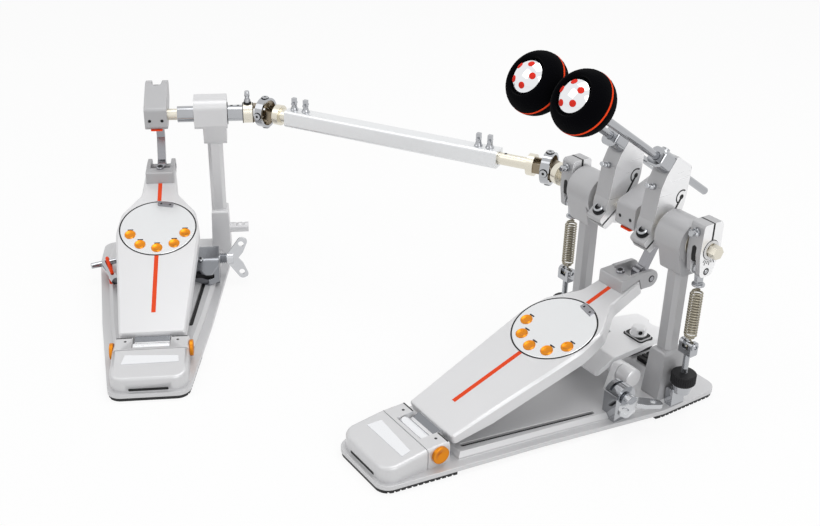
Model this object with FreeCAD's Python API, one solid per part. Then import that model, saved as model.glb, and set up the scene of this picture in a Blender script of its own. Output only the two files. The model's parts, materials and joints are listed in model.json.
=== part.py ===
import FreeCAD, Part
import math
import os

# Double bass drum pedal, millimetres.  Frame: origin on the floor under the middle of the
# main axle, +X to the player's right, +Y from heel to drum, +Z up.
V = FreeCAD.Vector

# Levels and the shared axes of both pedals
SOLE_THICK = 4.0
PLATE_THICK = 5.0
PANEL_RISE = 6.0
PLATE_TOP = SOLE_THICK + PLATE_THICK
PANEL_TOP = PLATE_TOP + PANEL_RISE
AXLE_Z = 194.0
HINGE_Z = 22.5

# Fits: radial gaps between round pieces
RUN_FIT = 0.05
SEAT_FIT = 0.02
AIR = 0.4
STUD_LEN = 4.0

# Axles and the pieces on them
AXLE_R = 7.0
HEX_FLATS = 12.0
SPIGOT_R = 4.0
SPIGOT_LEN = 28.0
CAM_HALF = 13.5
CAM_HUB_R = 15.0
FORK_SLOT_HALF = 6.2
FORK_Y = 38.0
FORK_RISE = 18.0
PIN_R = 3.0
HOLDER_X = 32.0
HOLDER_HALF = 10.0
HOLDER_HUB_R = 20.5
SLIT = 2.0
ROD_R = 4.0
ROD_SLOPE = 35.0
CLAMP_Y = -9.0
CLAMP_RISE = 71.0
CLAMP_R = 10.0
CLAMP_LEN = 18.0
FELT_NEAR = 118.0
FELT_LEN = 34.0
FELT_R = 31.0
ROD_TAIL = 87.0

# Posts, housings and springs
POST_X = 66.0
HOUSING_R = 22.0
HOUSING_IN = 48.0
HOUSING_OUT = 82.0
BEARING_R = 14.0
SPRING_X = 93.0
ROCKER_HALF = 8.5
ROCKER_PIN_Y = -2.0
ROCKER_PIN_DROP = 23.0
STIRRUP_HALF = 2.2
STIRRUP_FREE = 1.8
SPRING_TOP = 147.0
SPRING_LOW = 91.0
SPRING_R = 5.9
WIRE_R = 1.1
SPRING_TURNS = 16
ANCHOR_PIN_Z = 84.0
KNOB_LOW = 38.0
KNOB_HIGH = 50.0
KNOB_R = 13.0

# Footboard: widths and stations are measured along the board from its rear edge
BOARD_LEN = 268.0
BOARD_RISE = 89.46
BOARD_TILT = math.degrees(math.asin(BOARD_RISE / BOARD_LEN))
TOE_END_Y = 0.028
BOARD_REAR_Y = TOE_END_Y - math.sqrt(BOARD_LEN ** 2 - BOARD_RISE ** 2)
BOARD_REAR_Z = 33.0
BOARD_THICK = 16.0
BOARD_WALL = 4.5
REAR_HALF = 36.25
WIDE_HALF = 49.0
WIDE_TO_TOE = 110.0
WIDE_AT = BOARD_LEN - WIDE_TO_TOE
SHOULDER_HALF = 44.0
SHOULDER_TO_TOE = 78.0
SHOULDER_AT = BOARD_LEN - SHOULDER_TO_TOE
NECK_HALF = 22.0
NECK_TO_TOE = 46.0
NECK_AT = BOARD_LEN - NECK_TO_TOE
TOE_HALF = 18.0
DISC_TO_TOE = 104.85
DISC_AT = BOARD_LEN - DISC_TO_TOE
DISC_R = 44.0
DISC_THICK = 4.0
STUD_R = 5.6
STUD_RING = 33.5
STUD_COUNT = 5
STUD_STEP = 36.0
BARREL_HALF = 20.0
BARREL_R = 7.0
HINGE_PIN_R = 4.0
HINGE_BACK = 16.4
HINGE_Y = BOARD_REAR_Y - HINGE_BACK
TOE_PIN_Y = 17.6
TOE_PIN_Z = 119.0
TOE_FREE = 2.4
EAR_IN = 12.0
EAR_OUT = 17.0
EAR_R = 9.5
LINK_HALF = 5.0

# Heel block, placed from the hinge
HEEL_BEHIND = 61.0
PLATE_BEHIND = 65.0
SEAM_BEHIND = 13.0
CHEEK_AHEAD = 12.5
HEEL_REAR = HINGE_Y - HEEL_BEHIND
PLATE_REAR = HINGE_Y - PLATE_BEHIND
HEEL_SEAM = HINGE_Y - SEAM_BEHIND
HEEL_FRONT = HINGE_Y + CHEEK_AHEAD
HEEL_HALF = 40.5
HEEL_TOP = 31.0
HEEL_LIP = 25.0
HEEL_CORNER = 15.0
HEEL_ROUND = 4.0
SEAM_HALF = 0.6

# Drive shaft and its two universal joints
SLAVE_X = -519.0
SLAVE_Y = -304.4
SLAVE_YAW = 63.34
SLAVE_JOINT = 133.0
MAIN_JOINT = -137.0
RING_R = 18.5
RING_IN = 15.5
RING_HALF = 5.0
ARM_IN = 7.0
ARM_OUT = 10.5
ARM_HALF = 5.5
YOKE_GAP = 16.0
YOKE_R = 12.5
JOINT_FREE = 0.8
TUBE_HALF = 10.5
TUBE_ROD_R = 7.0
TUBE_END = 312.0
ROD_IN_TUBE = 120.0

# Base plates: half-widths and stations from heel to front
MAIN_REAR = 41.5
MAIN_MID = 66.5
MAIN_MID_Y = -163.0
MAIN_FRONT = 91.0
MAIN_SHOULDER_Y = -20.0
MAIN_END = 62.0
SLAVE_REAR = 41.5
SLAVE_MID = 62.5
SLAVE_MID_Y = -190.0
SLAVE_FRONT = 82.0
SLAVE_SHOULDER_Y = -30.0
SLAVE_END = 28.0
PLATE_CORNER = 15.0
SOLE_INSET = 1.0
SOLE_AHEAD = 14.0
HEEL_PAD_END = HINGE_Y + SOLE_AHEAD
FRONT_PAD_START = -28.0
RIB_PITCH = 6.0
RIB_GAP = 2.0
RIB_DEEP = 1.3
PANEL_INSET = 9.5
PANEL_AHEAD = 21.0
PANEL_REAR = HINGE_Y + PANEL_AHEAD
PANEL_END = 20.0
PANEL_BEVEL = 4.0
GROOVE_HALF = 2.5
GROOVE_DEEP = 3.5
GROOVE_IN = 32.0
GROOVE_OUT = 60.0
GROOVE_LEAD = 10.0
GROOVE_START = PANEL_REAR + GROOVE_LEAD
GROOVE_END = -90.0
SLAVE_GROOVE_IN = 38.0
SLAVE_GROOVE_OUT = 50.0
SLAVE_GROOVE_LEAD = 39.0
SLAVE_GROOVE_START = PANEL_REAR + SLAVE_GROOVE_LEAD
SLAVE_GROOVE_END = -104.0
FOOT_IN = 55.0
FOOT_OUT = 79.0
FOOT_DEEP = 19.0
FOOT_TOP = 68.0
SEAT_GAP = 0.1
POST_HALF = 9.2
NECK_IN = 53.0
NECK_OUT = 81.0
NECK_LOW = 158.0
BEARING_LEN = 10.0
SLAVE_HOUSING_IN = 46.0
SLAVE_HOUSING_OUT = 86.0
SLAVE_POST_X = 69.0
PEG_END = 105.0
PEG_R = 6.5
PEG_Z = 38.0
CAP_R = 9.0
CAP_LEN = 4.0

# Hoop clamp, wing bolts, key and clip
JAW_HALF = 32.0
JAW_PIVOT_Y = -36.0
JAW_PIVOT_Z = 36.0
JAW_PIN_R = 4.0
JAW_TOP = 50.0
JAW_NOSE = 56.0
PAD_TOP = 14.0
WING_Y = -66.0
WING_Z = 34.0
WING_X = 81.0
WING_REACH = 30.0
WING_R = 7.0
WING_OUT = 26.0
WING_THICK = 4.5
WING_SHANK_R = 4.0
WING_LEAN = -8.0
GUIDE_IN = 61.0
GUIDE_HALF = 13.0
SLAVE_WING_Y = -80.0
SLAVE_WING_X = 79.0
SLAVE_WING_REACH = 27.0
SLAVE_WING_LEAN = 80.0
SLAVE_CLAMP_IN = 36.0
SLAVE_CLAMP_OUT = 69.0
SLAVE_CLAMP_FOOT = 60.0
SLAVE_CLAMP_HALF = 18.0
SLAVE_CLAMP_NOSE = 36.0


def lift_x(x):
    """Maps flat (a, b) to a point on the plane at x."""
    return lambda p: V(x, p.x, p.y)


def lift_y(y):
    """Maps flat (a, b) to a point on the plane at y."""
    return lambda p: V(p.x, y, p.y)


def lift_z(z):
    """Maps flat (a, b) to a point on the plane at z."""
    return lambda p: V(p.x, p.y, z)


def corner(before, here, after, radius):
    """Start, middle and end of the arc that rounds one corner."""
    into = (here - before).normalize()
    out = (after - here).normalize()
    turn = into.getAngle(out)
    cut = radius * math.tan(turn / 2)
    if cut < 0.01:
        return here, None, here
    inward = (out - into).normalize()
    middle = here + inward * (radius / math.cos(turn / 2) - radius)
    return here - into * cut, middle, here + out * cut


def outline(points, lift):
    """A face from (a, b, corner radius) points."""
    flat = [V(p[0], p[1], 0) for p in points]
    last = len(flat)
    corners = [corner(flat[i - 1], flat[i], flat[(i + 1) % last], points[i][2]) for i in range(last)]
    edges = []
    for i in range(last):
        start, middle, stop = corners[i]
        onward = corners[(i + 1) % last][0]
        if middle is not None:
            edges.append(Part.Arc(lift(start), lift(middle), lift(stop)).toShape())
        if (onward - stop).Length > 0.001:
            edges.append(Part.makeLine(lift(stop), lift(onward)))
    return Part.Face(Part.Wire(edges))


def prism_x(points, x0, x1):
    """A (y, z) outline drawn along x."""
    return outline(points, lift_x(x0)).extrude(V(x1 - x0, 0, 0))


def prism_y(points, y0, y1):
    """An (x, z) outline drawn along y."""
    return outline(points, lift_y(y0)).extrude(V(0, y1 - y0, 0))


def prism_z(points, z0, z1):
    """An (x, y) outline drawn along z."""
    return outline(points, lift_z(z0)).extrude(V(0, 0, z1 - z0))


def block(x0, x1, y0, y1, z0, z1):
    """A plain box between two corners."""
    return Part.makeBox(x1 - x0, y1 - y0, z1 - z0, V(x0, y0, z0))


def bar(start, end, radius):
    """A round bar between two points."""
    return Part.makeCylinder(radius, (end - start).Length, start, end - start)


def bar_x(radius, x0, x1, y, z):
    """A round bar along x."""
    return bar(V(x0, y, z), V(x1, y, z), radius)


def tube_x(outer, inner, x0, x1, y, z):
    """A ring along x."""
    return bar_x(outer, x0, x1, y, z).cut(bar_x(inner, x0 - 1, x1 + 1, y, z))


def capsule_x(a, b, radius, x0, x1):
    """A slot-shaped strap in the (y, z) plane, drawn along x."""
    along = (b - a).normalize()
    side = V(-along.y, along.x, 0) * radius
    edges = [
        Part.makeLine(lift_x(x0)(a + side), lift_x(x0)(b + side)),
        Part.Arc(lift_x(x0)(b + side), lift_x(x0)(b + along * radius), lift_x(x0)(b - side)).toShape(),
        Part.makeLine(lift_x(x0)(b - side), lift_x(x0)(a - side)),
        Part.Arc(lift_x(x0)(a - side), lift_x(x0)(a - along * radius), lift_x(x0)(a + side)).toShape(),
    ]
    return Part.Face(Part.Wire(edges)).extrude(V(x1 - x0, 0, 0))


def mirrored(shape):
    """The shape reflected to the other side of the pedal's middle plane."""
    return shape.mirror(V(0, 0, 0), V(1, 0, 0))


def joined(shapes):
    """Pieces fused to one solid, without seams."""
    return shapes[0].fuse(shapes[1:]).removeSplitter()


def grouped(shapes):
    """Separate solids kept in one node."""
    return Part.makeCompound(shapes)


def both_sides(points):
    """A closed (x, y) outline from its right half."""
    return points + [(-x, y, r) for x, y, r in reversed(points)]


def plate_points(rear, mid, mid_y, front, shoulder_y, end, inset):
    """Outline of a base plate, drawn in by the inset."""
    turn = max(PLATE_CORNER - inset, 4.0)
    return both_sides([
        (rear - inset, PLATE_REAR + inset, turn),
        (mid - inset, mid_y, 120.0),
        (front - inset, shoulder_y, 40.0),
        (front - inset, end - inset, turn),
    ])


def main_points(inset):
    """Outline of the main base plate."""
    return plate_points(MAIN_REAR, MAIN_MID, MAIN_MID_Y, MAIN_FRONT, MAIN_SHOULDER_Y, MAIN_END, inset)


def slave_points(inset):
    """Outline of the slave base plate."""
    return plate_points(
        SLAVE_REAR, SLAVE_MID, SLAVE_MID_Y, SLAVE_FRONT, SLAVE_SHOULDER_Y, SLAVE_END, inset)


def bevelled(shape, z, size):
    """The shape with the edges at one level chamfered."""
    rim = [e for e in shape.Edges if all(abs(v.Z - z) < 0.001 for v in e.Vertexes)]
    return shape.makeChamfer(size, rim)


def sole(points):
    """Rubber pads under the heel and under the front, with cross grooves underneath."""
    body = prism_z(points(SOLE_INSET), 0, SOLE_THICK)
    pads = []
    for low, high in ((PLATE_REAR, HEEL_PAD_END), (FRONT_PAD_START, MAIN_END)):
        pad = body.common(block(-MAIN_FRONT, MAIN_FRONT, low, high, 0, SOLE_THICK))
        count = int((pad.BoundBox.YLength - RIB_PITCH) / RIB_PITCH)
        gaps = []
        for i in range(1, count + 1):
            y = pad.BoundBox.YMin + i * RIB_PITCH
            gaps.append(block(-MAIN_FRONT, MAIN_FRONT, y, y + RIB_GAP, -1, RIB_DEEP))
        pads.append(pad.cut(grouped(gaps)))
    return grouped(pads)


def groove(x0, y0, x1, y1):
    """Cutter for one long groove in the panel."""
    along = V(x1 - x0, y1 - y0, 0).normalize()
    side = V(-along.y, along.x, 0) * GROOVE_HALF
    corners = [V(x0, y0, 0) + side, V(x0, y0, 0) - side, V(x1, y1, 0) - side, V(x1, y1, 0) + side]
    return prism_z([(c.x, c.y, GROOVE_HALF * 0.9) for c in corners], PANEL_TOP - GROOVE_DEEP, PANEL_TOP + 1)


def base_plate(points, slot, seats):
    """Flange, raised panel with bevelled rim, two grooves and pockets for what stands on it."""
    flange = prism_z(points(0.0), SOLE_THICK, PLATE_TOP)
    panel = prism_z(points(PANEL_INSET), SOLE_THICK, PANEL_TOP)
    panel = panel.common(block(-MAIN_FRONT, MAIN_FRONT, PANEL_REAR, PANEL_END, SOLE_THICK, PANEL_TOP))
    body = joined([flange, bevelled(panel, PANEL_TOP, PANEL_BEVEL)])
    cutter = groove(*slot)
    body = body.cut(cutter).cut(mirrored(cutter))
    for x0, x1, y0, y1 in seats:
        wide = SEAT_GAP
        body = body.cut(block(x0 - wide, x1 + wide, y0 - wide, y1 + wide, PLATE_TOP, PANEL_TOP + 1))
    return body


def heel_rim(cap):
    """Edges round the heel cap's sloping top, apart from the one at the seam."""
    rim = []
    for edge in cap.Edges:
        ends = edge.Vertexes
        on_top = all(v.Z > HEEL_LIP - 0.01 for v in ends)
        if on_top and not all(abs(v.Y - HEEL_SEAM) < 0.01 for v in ends):
            rim.append(edge)
    return rim


def heel_block():
    """Low heel casting: sloping cap with rounded rim and front slit, seam line, cheeks beside the hinge."""
    low = PLATE_TOP
    slope = [(HEEL_REAR, low, 0), (HEEL_REAR, HEEL_LIP, 0), (HEEL_SEAM, HEEL_TOP, 0), (HEEL_SEAM, low, 0)]
    plan = both_sides([(HEEL_HALF, HEEL_REAR, HEEL_CORNER), (HEEL_HALF, HEEL_SEAM, 0)])
    cap = prism_x(slope, -HEEL_HALF, HEEL_HALF).common(prism_z(plan, low, HEEL_TOP + 1)).removeSplitter()
    cap = cap.makeFillet(HEEL_ROUND, heel_rim(cap))
    cap = cap.cut(block(-20, 20, HEEL_REAR - 1, HEEL_REAR + 8, low + 1, low + 4))
    front = both_sides([(HEEL_HALF, low, 0), (HEEL_HALF, HEEL_TOP, HEEL_ROUND)])
    body = joined([cap, prism_y(front, HEEL_SEAM, HEEL_FRONT)])
    deep = 2 * SEAM_HALF
    seam = block(-HEEL_HALF, HEEL_HALF, HEEL_SEAM - SEAM_HALF, HEEL_SEAM + SEAM_HALF, low, HEEL_TOP)
    core = HEEL_HALF - deep
    seam = seam.cut(block(-core, core, HEEL_SEAM - 2, HEEL_SEAM + 2, low, HEEL_TOP - deep))
    gap = BARREL_HALF + 0.6
    window = block(-gap, gap, HINGE_Y - BARREL_R - 1.5, HEEL_FRONT + 1, low + 2, HEEL_TOP + 1)
    body = body.cut(seam).cut(window)
    return body.cut(bar_x(HINGE_PIN_R + SEAT_FIT, -HEEL_HALF - 1, HEEL_HALF + 1, HINGE_Y, HINGE_Z))


def hinge_bolts():
    """Two bolts with cone-dimpled caps that meet inside the barrel."""
    face = HEEL_HALF
    pin = bar_x(HINGE_PIN_R, BARREL_HALF / 2, face, HINGE_Y, HINGE_Z)
    cap = bar_x(CAP_R, face, face + CAP_LEN, HINGE_Y, HINGE_Z)
    rim = V(face + CAP_LEN, HINGE_Y, HINGE_Z)
    cap = cap.cut(Part.makeCone(CAP_R - 1.5, 1.0, CAP_LEN - 1.0, rim, V(-1, 0, 0)))
    right = joined([pin, cap])
    return grouped([right, mirrored(right)])


def foot(x0, x1):
    """Tapered foot block of a post."""
    front = [(x0, PLATE_TOP, 0), (x1, PLATE_TOP, 0), (x1 - 1.5, FOOT_TOP, 4), (x0 + 1.5, FOOT_TOP, 4)]
    deep = FOOT_DEEP
    side = [(-deep, PLATE_TOP, 0), (deep, PLATE_TOP, 0), (deep - 5, FOOT_TOP, 4), (5 - deep, FOOT_TOP, 4)]
    return prism_y(front, -deep, deep).common(prism_x(side, x0, x1))


def column(x):
    """Square post with cut corners between foot and neck."""
    h = POST_HALF
    cut = h * 0.45
    points = [(x + h, -h + cut, 0), (x + h, h - cut, 0), (x + h - cut, h, 0), (x - h + cut, h, 0),
              (x - h, h - cut, 0), (x - h, -h + cut, 0), (x - h + cut, -h, 0), (x + h - cut, -h, 0)]
    return prism_z(points, FOOT_TOP - 10, NECK_LOW + 8)


def neck(x0, x1):
    """Tapered block that carries the housing on the post."""
    half = POST_HALF + 3.5
    shoulder = HOUSING_R - 0.6
    points = [(-shoulder, AXLE_Z - 4, 0), (-half, NECK_LOW, 6), (half, NECK_LOW, 6),
              (shoulder, AXLE_Z - 4, 0)]
    return prism_x(points, x0, x1)


def right_post():
    """Foot, post and round bearing housing of the main pedal's right side."""
    housing = bar_x(HOUSING_R, HOUSING_IN, HOUSING_OUT, 0, AXLE_Z)
    body = joined([housing, neck(NECK_IN, NECK_OUT), column(POST_X), foot(FOOT_IN, FOOT_OUT)])
    return body.cut(bar_x(BEARING_R + SEAT_FIT, HOUSING_IN - 1, HOUSING_OUT + 1, 0, AXLE_Z))


def bearing_pair(x0, x1):
    """Bearing rings at both ends of a housing."""
    bore = AXLE_R + RUN_FIT
    near = tube_x(BEARING_R, bore, x0, x0 + BEARING_LEN, 0, AXLE_Z)
    far = tube_x(BEARING_R, bore, x1 - BEARING_LEN, x1, 0, AXLE_Z)
    return [near, far]


def slave_post():
    """Foot, post, square-shouldered housing and the slotted peg of the slave pedal."""
    low = AXLE_Z - 14
    high = AXLE_Z + HOUSING_R
    half = HOUSING_R - 2
    points = [(-half, low, 5), (half, low, 5), (half, high, 12), (-half, high, 12)]
    housing = prism_x(points, SLAVE_HOUSING_IN, SLAVE_HOUSING_OUT)
    shift = SLAVE_POST_X - POST_X
    under = neck(NECK_IN + shift, NECK_OUT + shift)
    under = under.common(block(0, SLAVE_HOUSING_OUT, -half, half, NECK_LOW, AXLE_Z))
    peg = bar_x(PEG_R, SLAVE_POST_X, PEG_END, 0, PEG_Z)
    for i in range(2):
        x = PEG_END - 16 + 8 * i
        peg = peg.cut(block(x, x + 3, -PEG_R, PEG_R, PEG_Z + PEG_R - 2.5, PEG_Z + PEG_R + 1))
    body = joined([housing, under, column(SLAVE_POST_X), foot(FOOT_IN + shift, FOOT_OUT + shift), peg])
    return body.cut(bar_x(BEARING_R + SEAT_FIT, SLAVE_HOUSING_IN - 1, SLAVE_HOUSING_OUT + 1, 0, AXLE_Z))


def hexagon_x(flats, x0, x1, y, z):
    """A hexagonal bar along x."""
    reach = flats / math.sqrt(3)
    turns = [math.radians(60 * i) for i in range(6)]
    return prism_x([(y + reach * math.cos(t), z + reach * math.sin(t), 0) for t in turns], x0, x1)


def main_axle():
    """Right half axle: hexagon end, round journal and the spigot that carries the left half."""
    out = SPRING_X + ROCKER_HALF
    journal = bar_x(AXLE_R, -CAM_HALF, out, 0, AXLE_Z)
    end = hexagon_x(HEX_FLATS, out - 1, out + 10, 0, AXLE_Z)
    spigot = bar_x(SPIGOT_R, -CAM_HALF - SPIGOT_LEN, -CAM_HALF + 1, 0, AXLE_Z)
    return joined([journal, end, spigot])


def cam():
    """Drive cam: hub with a flat heel face, lever to the drum side, fork and its pin."""
    z = AXLE_Z
    r = CAM_HUB_R
    fork_z = z + FORK_RISE
    points = [(-r, z - 11, 3), (-r, z + 12, 5), (FORK_Y - 6, fork_z + 13, 8), (FORK_Y + 14, fork_z + 10, 6),
              (FORK_Y + 9, fork_z - 11, 7), (r + 6, z - 9, 9), (4, z - r, 8), (-r + 4, z - r, 3)]
    body = prism_x(points, -CAM_HALF, CAM_HALF)
    far = FORK_Y + 40
    slot = prism_z([(-FORK_SLOT_HALF, FORK_Y - 11, 5), (FORK_SLOT_HALF, FORK_Y - 11, 5),
                    (FORK_SLOT_HALF, far, 0), (-FORK_SLOT_HALF, far, 0)], z - 40, z + 60)
    body = body.cut(slot).cut(bar_x(AXLE_R + SEAT_FIT, -CAM_HALF - 1, CAM_HALF + 1, 0, z))
    for side in (-1, 1):
        x = side * CAM_HALF * 0.55
        body = body.cut(bar(V(x, -r - 1, z - 3), V(x, -r + 5, z - 3), 2.0))
    return joined([body, bar_x(PIN_R, -CAM_HALF, CAM_HALF, FORK_Y, fork_z)])


def rod_along():
    """Direction of a beater rod, from its tail to the felt."""
    slope = math.radians(ROD_SLOPE)
    return V(0, -math.cos(slope), math.sin(slope))


def rod_across():
    """Direction square to the rod in the plane of the holder."""
    slope = math.radians(ROD_SLOPE)
    return V(0, math.sin(slope), math.cos(slope))


def rod_spot(along, across):
    """A point in the holder's plane, measured from the middle of the rod clamp."""
    return V(0, CLAMP_Y, AXLE_Z + CLAMP_RISE) + rod_along() * along + rod_across() * across


def on_rod(shape):
    """Places a shape drawn along z from the clamp middle onto the right beater rod."""
    turn = FreeCAD.Rotation(V(0, 0, 1), rod_along())
    placed = shape.copy()
    placed.Placement = FreeCAD.Placement(V(HOLDER_X, 0, 0) + rod_spot(0, 0), turn)
    return placed


def beater_holder():
    """Hinged clamp on the axle: split hub, pinch lug, eyelet and the arm that carries the rod."""
    z = AXLE_Z
    r = HOLDER_HUB_R
    x0 = HOLDER_X - HOLDER_HALF
    x1 = HOLDER_X + HOLDER_HALF
    near = -CLAMP_LEN / 2
    low = rod_spot(near, -CLAMP_R - 1)
    high = rod_spot(near, CLAMP_R + 1)
    back = rod_spot(near - 26, CLAMP_R + 1)
    arm = prism_x([(low.y, low.z, 2), (-13.5, z + 44, 12), (-r + 2, z + 8, 0), (r - 2, z + 6, 0),
                   (24, z + 30, 8), (back.y, back.z, 6), (high.y, high.z, 3)], x0, x1)
    hub = bar_x(r, x0, x1, 0, z)
    lug_y = -0.79
    lug_z = -0.61
    lug = prism_x([(-11 * lug_z, z + 11 * lug_y, 0), (lug_y * 30 - 8 * lug_z, z + lug_z * 30 + 8 * lug_y, 3),
                   (lug_y * 30 + 8 * lug_z, z + lug_z * 30 - 8 * lug_y, 3),
                   (11 * lug_z, z - 11 * lug_y, 0)], x0, x1)
    body = joined([hub, arm, lug])
    eye = V(17, z + 29, 0)
    wide = SLIT / 2
    body = body.cut(capsule_x(V(0, z, 0), V(lug_y * 40, z + lug_z * 40, 0), wide, x0 - 1, x1 + 1))
    body = body.cut(capsule_x(V(0, z, 0), eye, wide, x0 - 1, x1 + 1))
    body = body.cut(bar_x(2.4, x0 - 1, x1 + 1, eye.x, eye.y))
    body = body.cut(bar_x(AXLE_R + SEAT_FIT, x0 - 1, x1 + 1, 0, z))
    passage = bar(V(0, 0, near - 60), V(0, 0, near + 1), ROD_R + AIR)
    return body.cut(on_rod(passage))


def rod_clamp():
    """Rounded square clamp on the rod, seated on the holder's arm."""
    r = CLAMP_R
    half = CLAMP_LEN / 2
    body = prism_z([(-r, -r, 6), (r, -r, 6), (r, r, 6), (-r, r, 6)], -half, half)
    body = bevelled(body, half, 1.5)
    body = body.cut(bar(V(0, 0, -half - 1), V(0, 0, half + 1), ROD_R + RUN_FIT))
    return on_rod(body)


def beater_rod():
    """Straight round rod from its tail to inside the felt."""
    return on_rod(bar(V(0, 0, -ROD_TAIL), V(0, 0, FELT_NEAR + FELT_LEN - 10), ROD_R))


def turned(edges):
    """A solid of revolution about z from a closed (x, z) outline."""
    return Part.Face(Part.Wire(edges)).revolve(V(0, 0, 0), V(0, 0, 1), 360)


def felt():
    """Barrel-shaped felt, bored for the rod."""
    near = FELT_NEAR
    far = FELT_NEAR + FELT_LEN
    foot_r = FELT_R * 0.81
    face_r = FELT_R * 0.71
    rear = V(foot_r, 0, near)
    front = V(face_r, 0, far)
    edges = [
        Part.makeLine(V(0, 0, near), rear),
        Part.Arc(rear, V(FELT_R, 0, near + FELT_LEN * 0.5), front).toShape(),
        Part.makeLine(front, V(0, 0, far)),
        Part.makeLine(V(0, 0, far), V(0, 0, near)),
    ]
    body = turned(edges).cut(bar(V(0, 0, near - 1), V(0, 0, far - 10), ROD_R + SEAT_FIT))
    return on_rod(body)


def felt_cap():
    """Domed metal cap on the front of the felt."""
    base = FELT_NEAR + FELT_LEN
    r = FELT_R * 0.61
    edge = 1.2
    crown = 4.2
    dome_r = (r * r + crown * crown) / (2 * crown)
    body = Part.makeCylinder(r, edge + crown, V(0, 0, base))
    return on_rod(body.common(Part.makeSphere(dome_r, V(0, 0, base + edge + crown - dome_r))))


def rocker():
    """Split clamp on the axle end with a forked tail that pulls the spring."""
    z = AXLE_Z
    x0 = SPRING_X - ROCKER_HALF
    x1 = SPRING_X + ROCKER_HALF
    low = z - ROCKER_PIN_DROP
    points = [(-13, z + 28, 4), (13, z + 28, 4), (14, z - 4, 12), (ROCKER_PIN_Y + 8, low - 6, 6),
              (ROCKER_PIN_Y - 8, low - 6, 6), (-14, z - 4, 12)]
    body = prism_x(points, x0, x1).cut(bar_x(AXLE_R + SEAT_FIT, x0 - 1, x1 + 1, 0, z))
    body = body.cut(block(x0 - 1, x1 + 1, -SLIT / 2, SLIT / 2, z, z + 40))
    gap = STIRRUP_HALF + 0.8
    body = body.cut(block(SPRING_X - gap, SPRING_X + gap, -30, 30, low - 20, z - AXLE_R - 3))
    return joined([body, bar_x(2.5, x0, x1, ROCKER_PIN_Y, low)])


def yoke(free, hub_len):
    """Two arms and a round hub; joint centre at the origin, shaft towards -x, pins along z."""
    hub = bar_x(YOKE_R, -YOKE_GAP - hub_len, -YOKE_GAP, 0, 0)
    parts = [hub]
    for side in (-1, 1):
        z0 = min(side * ARM_IN, side * ARM_OUT)
        z1 = max(side * ARM_IN, side * ARM_OUT)
        arm = block(-YOKE_GAP - 1, 0, -ARM_HALF, ARM_HALF, z0, z1)
        parts.append(arm.fuse(bar(V(0, 0, z0), V(0, 0, z1), ARM_HALF)))
    body = joined(parts)
    return body.cut(bar(V(0, 0, -ARM_OUT - 1), V(0, 0, ARM_OUT + 1), PIN_R + free))


def joint_ring():
    """Gimbal ring with four inward pivot screws; ring axis along x."""
    parts = [tube_x(RING_R, RING_IN, -RING_HALF, RING_HALF, 0, 0)]
    for i in range(4):
        turn = math.radians(90 * i)
        out = V(0, math.cos(turn), math.sin(turn))
        parts.append(bar(out * (ARM_IN - 0.5), out * (RING_R + 1.5), PIN_R))
        parts.append(bar(out * (RING_R - 1.5), out * (RING_R + 1.5), PIN_R + 1.2))
    return joined(parts)


def spun(shape, point, yaw, roll):
    """The shape rolled about x, then turned by yaw about z, then moved to the point."""
    moved = shape.copy()
    moved.rotate(V(0, 0, 0), V(1, 0, 0), roll)
    moved.rotate(V(0, 0, 0), V(0, 0, 1), yaw)
    moved.translate(point)
    return moved


def left_axle():
    """Left half axle: bored for the spigot, ending in the yoke of the main universal joint."""
    z = AXLE_Z
    hub_len = 8.0
    tail = MAIN_JOINT + YOKE_GAP + hub_len - 1
    journal = bar_x(AXLE_R, tail, -CAM_HALF - 1, 0, z)
    fork = spun(yoke(RUN_FIT, hub_len), V(MAIN_JOINT, 0, z), 180, 0)
    body = joined([journal, fork])
    return body.cut(bar_x(SPIGOT_R + RUN_FIT, -CAM_HALF - SPIGOT_LEN - 1, 0, 0, z))


def slave_axle():
    """Slave axle: bare end in the cam, two sleeves either side of the housing, collar and yoke."""
    z = AXLE_Z
    inside = SLAVE_HOUSING_IN - 0.5
    outside = SLAVE_HOUSING_OUT + 0.5
    hub_len = 12.0
    hub = SLAVE_JOINT - YOKE_GAP - hub_len
    bare = bar_x(AXLE_R, -CAM_HALF, hub + 1, 0, z)
    sleeve = bar_x(AXLE_R + 3, inside - 20, inside, 0, z)
    outer = bar_x(AXLE_R + 3, outside, hub + 1, 0, z)
    for i in range(2):
        x = outside + 5 + 8 * i
        outer = outer.cut(bar(V(x, 0, z + AXLE_R - 1), V(x, 0, z + AXLE_R + 4), 1.8))
    fork = spun(yoke(RUN_FIT, hub_len), V(SLAVE_JOINT, 0, z), 0, 0)
    return joined([bare, sleeve, outer, fork])


def to_slave(shape):
    """Moves a shape from pedal coordinates to where the slave pedal stands."""
    return spun(shape, V(SLAVE_X, SLAVE_Y, 0), SLAVE_YAW, 0)


def slave_joint_point():
    """Centre of the slave's universal joint."""
    yaw = math.radians(SLAVE_YAW)
    reach = V(math.cos(yaw), math.sin(yaw), 0) * SLAVE_JOINT
    return V(SLAVE_X, SLAVE_Y, AXLE_Z) + reach


def shaft_span():
    """Vector from the slave's joint to the main joint."""
    return V(MAIN_JOINT, 0, AXLE_Z) - slave_joint_point()


def on_shaft(shape):
    """Places a shape drawn along x from the slave's joint onto the drive shaft."""
    span = shaft_span()
    return spun(shape, slave_joint_point(), math.degrees(math.atan2(span.y, span.x)), 0)


def squared_x(half, x0, x1):
    """Rounded square bar along x."""
    r = half * 0.35
    return prism_x([(-half, -half, r), (half, -half, r), (half, half, r), (-half, half, r)], x0, x1)


def key_spots():
    """Stations of the four key bolts along the tube."""
    first = YOKE_GAP + 26
    return [first, first + 16, TUBE_END - 26, TUBE_END - 12]


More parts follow.
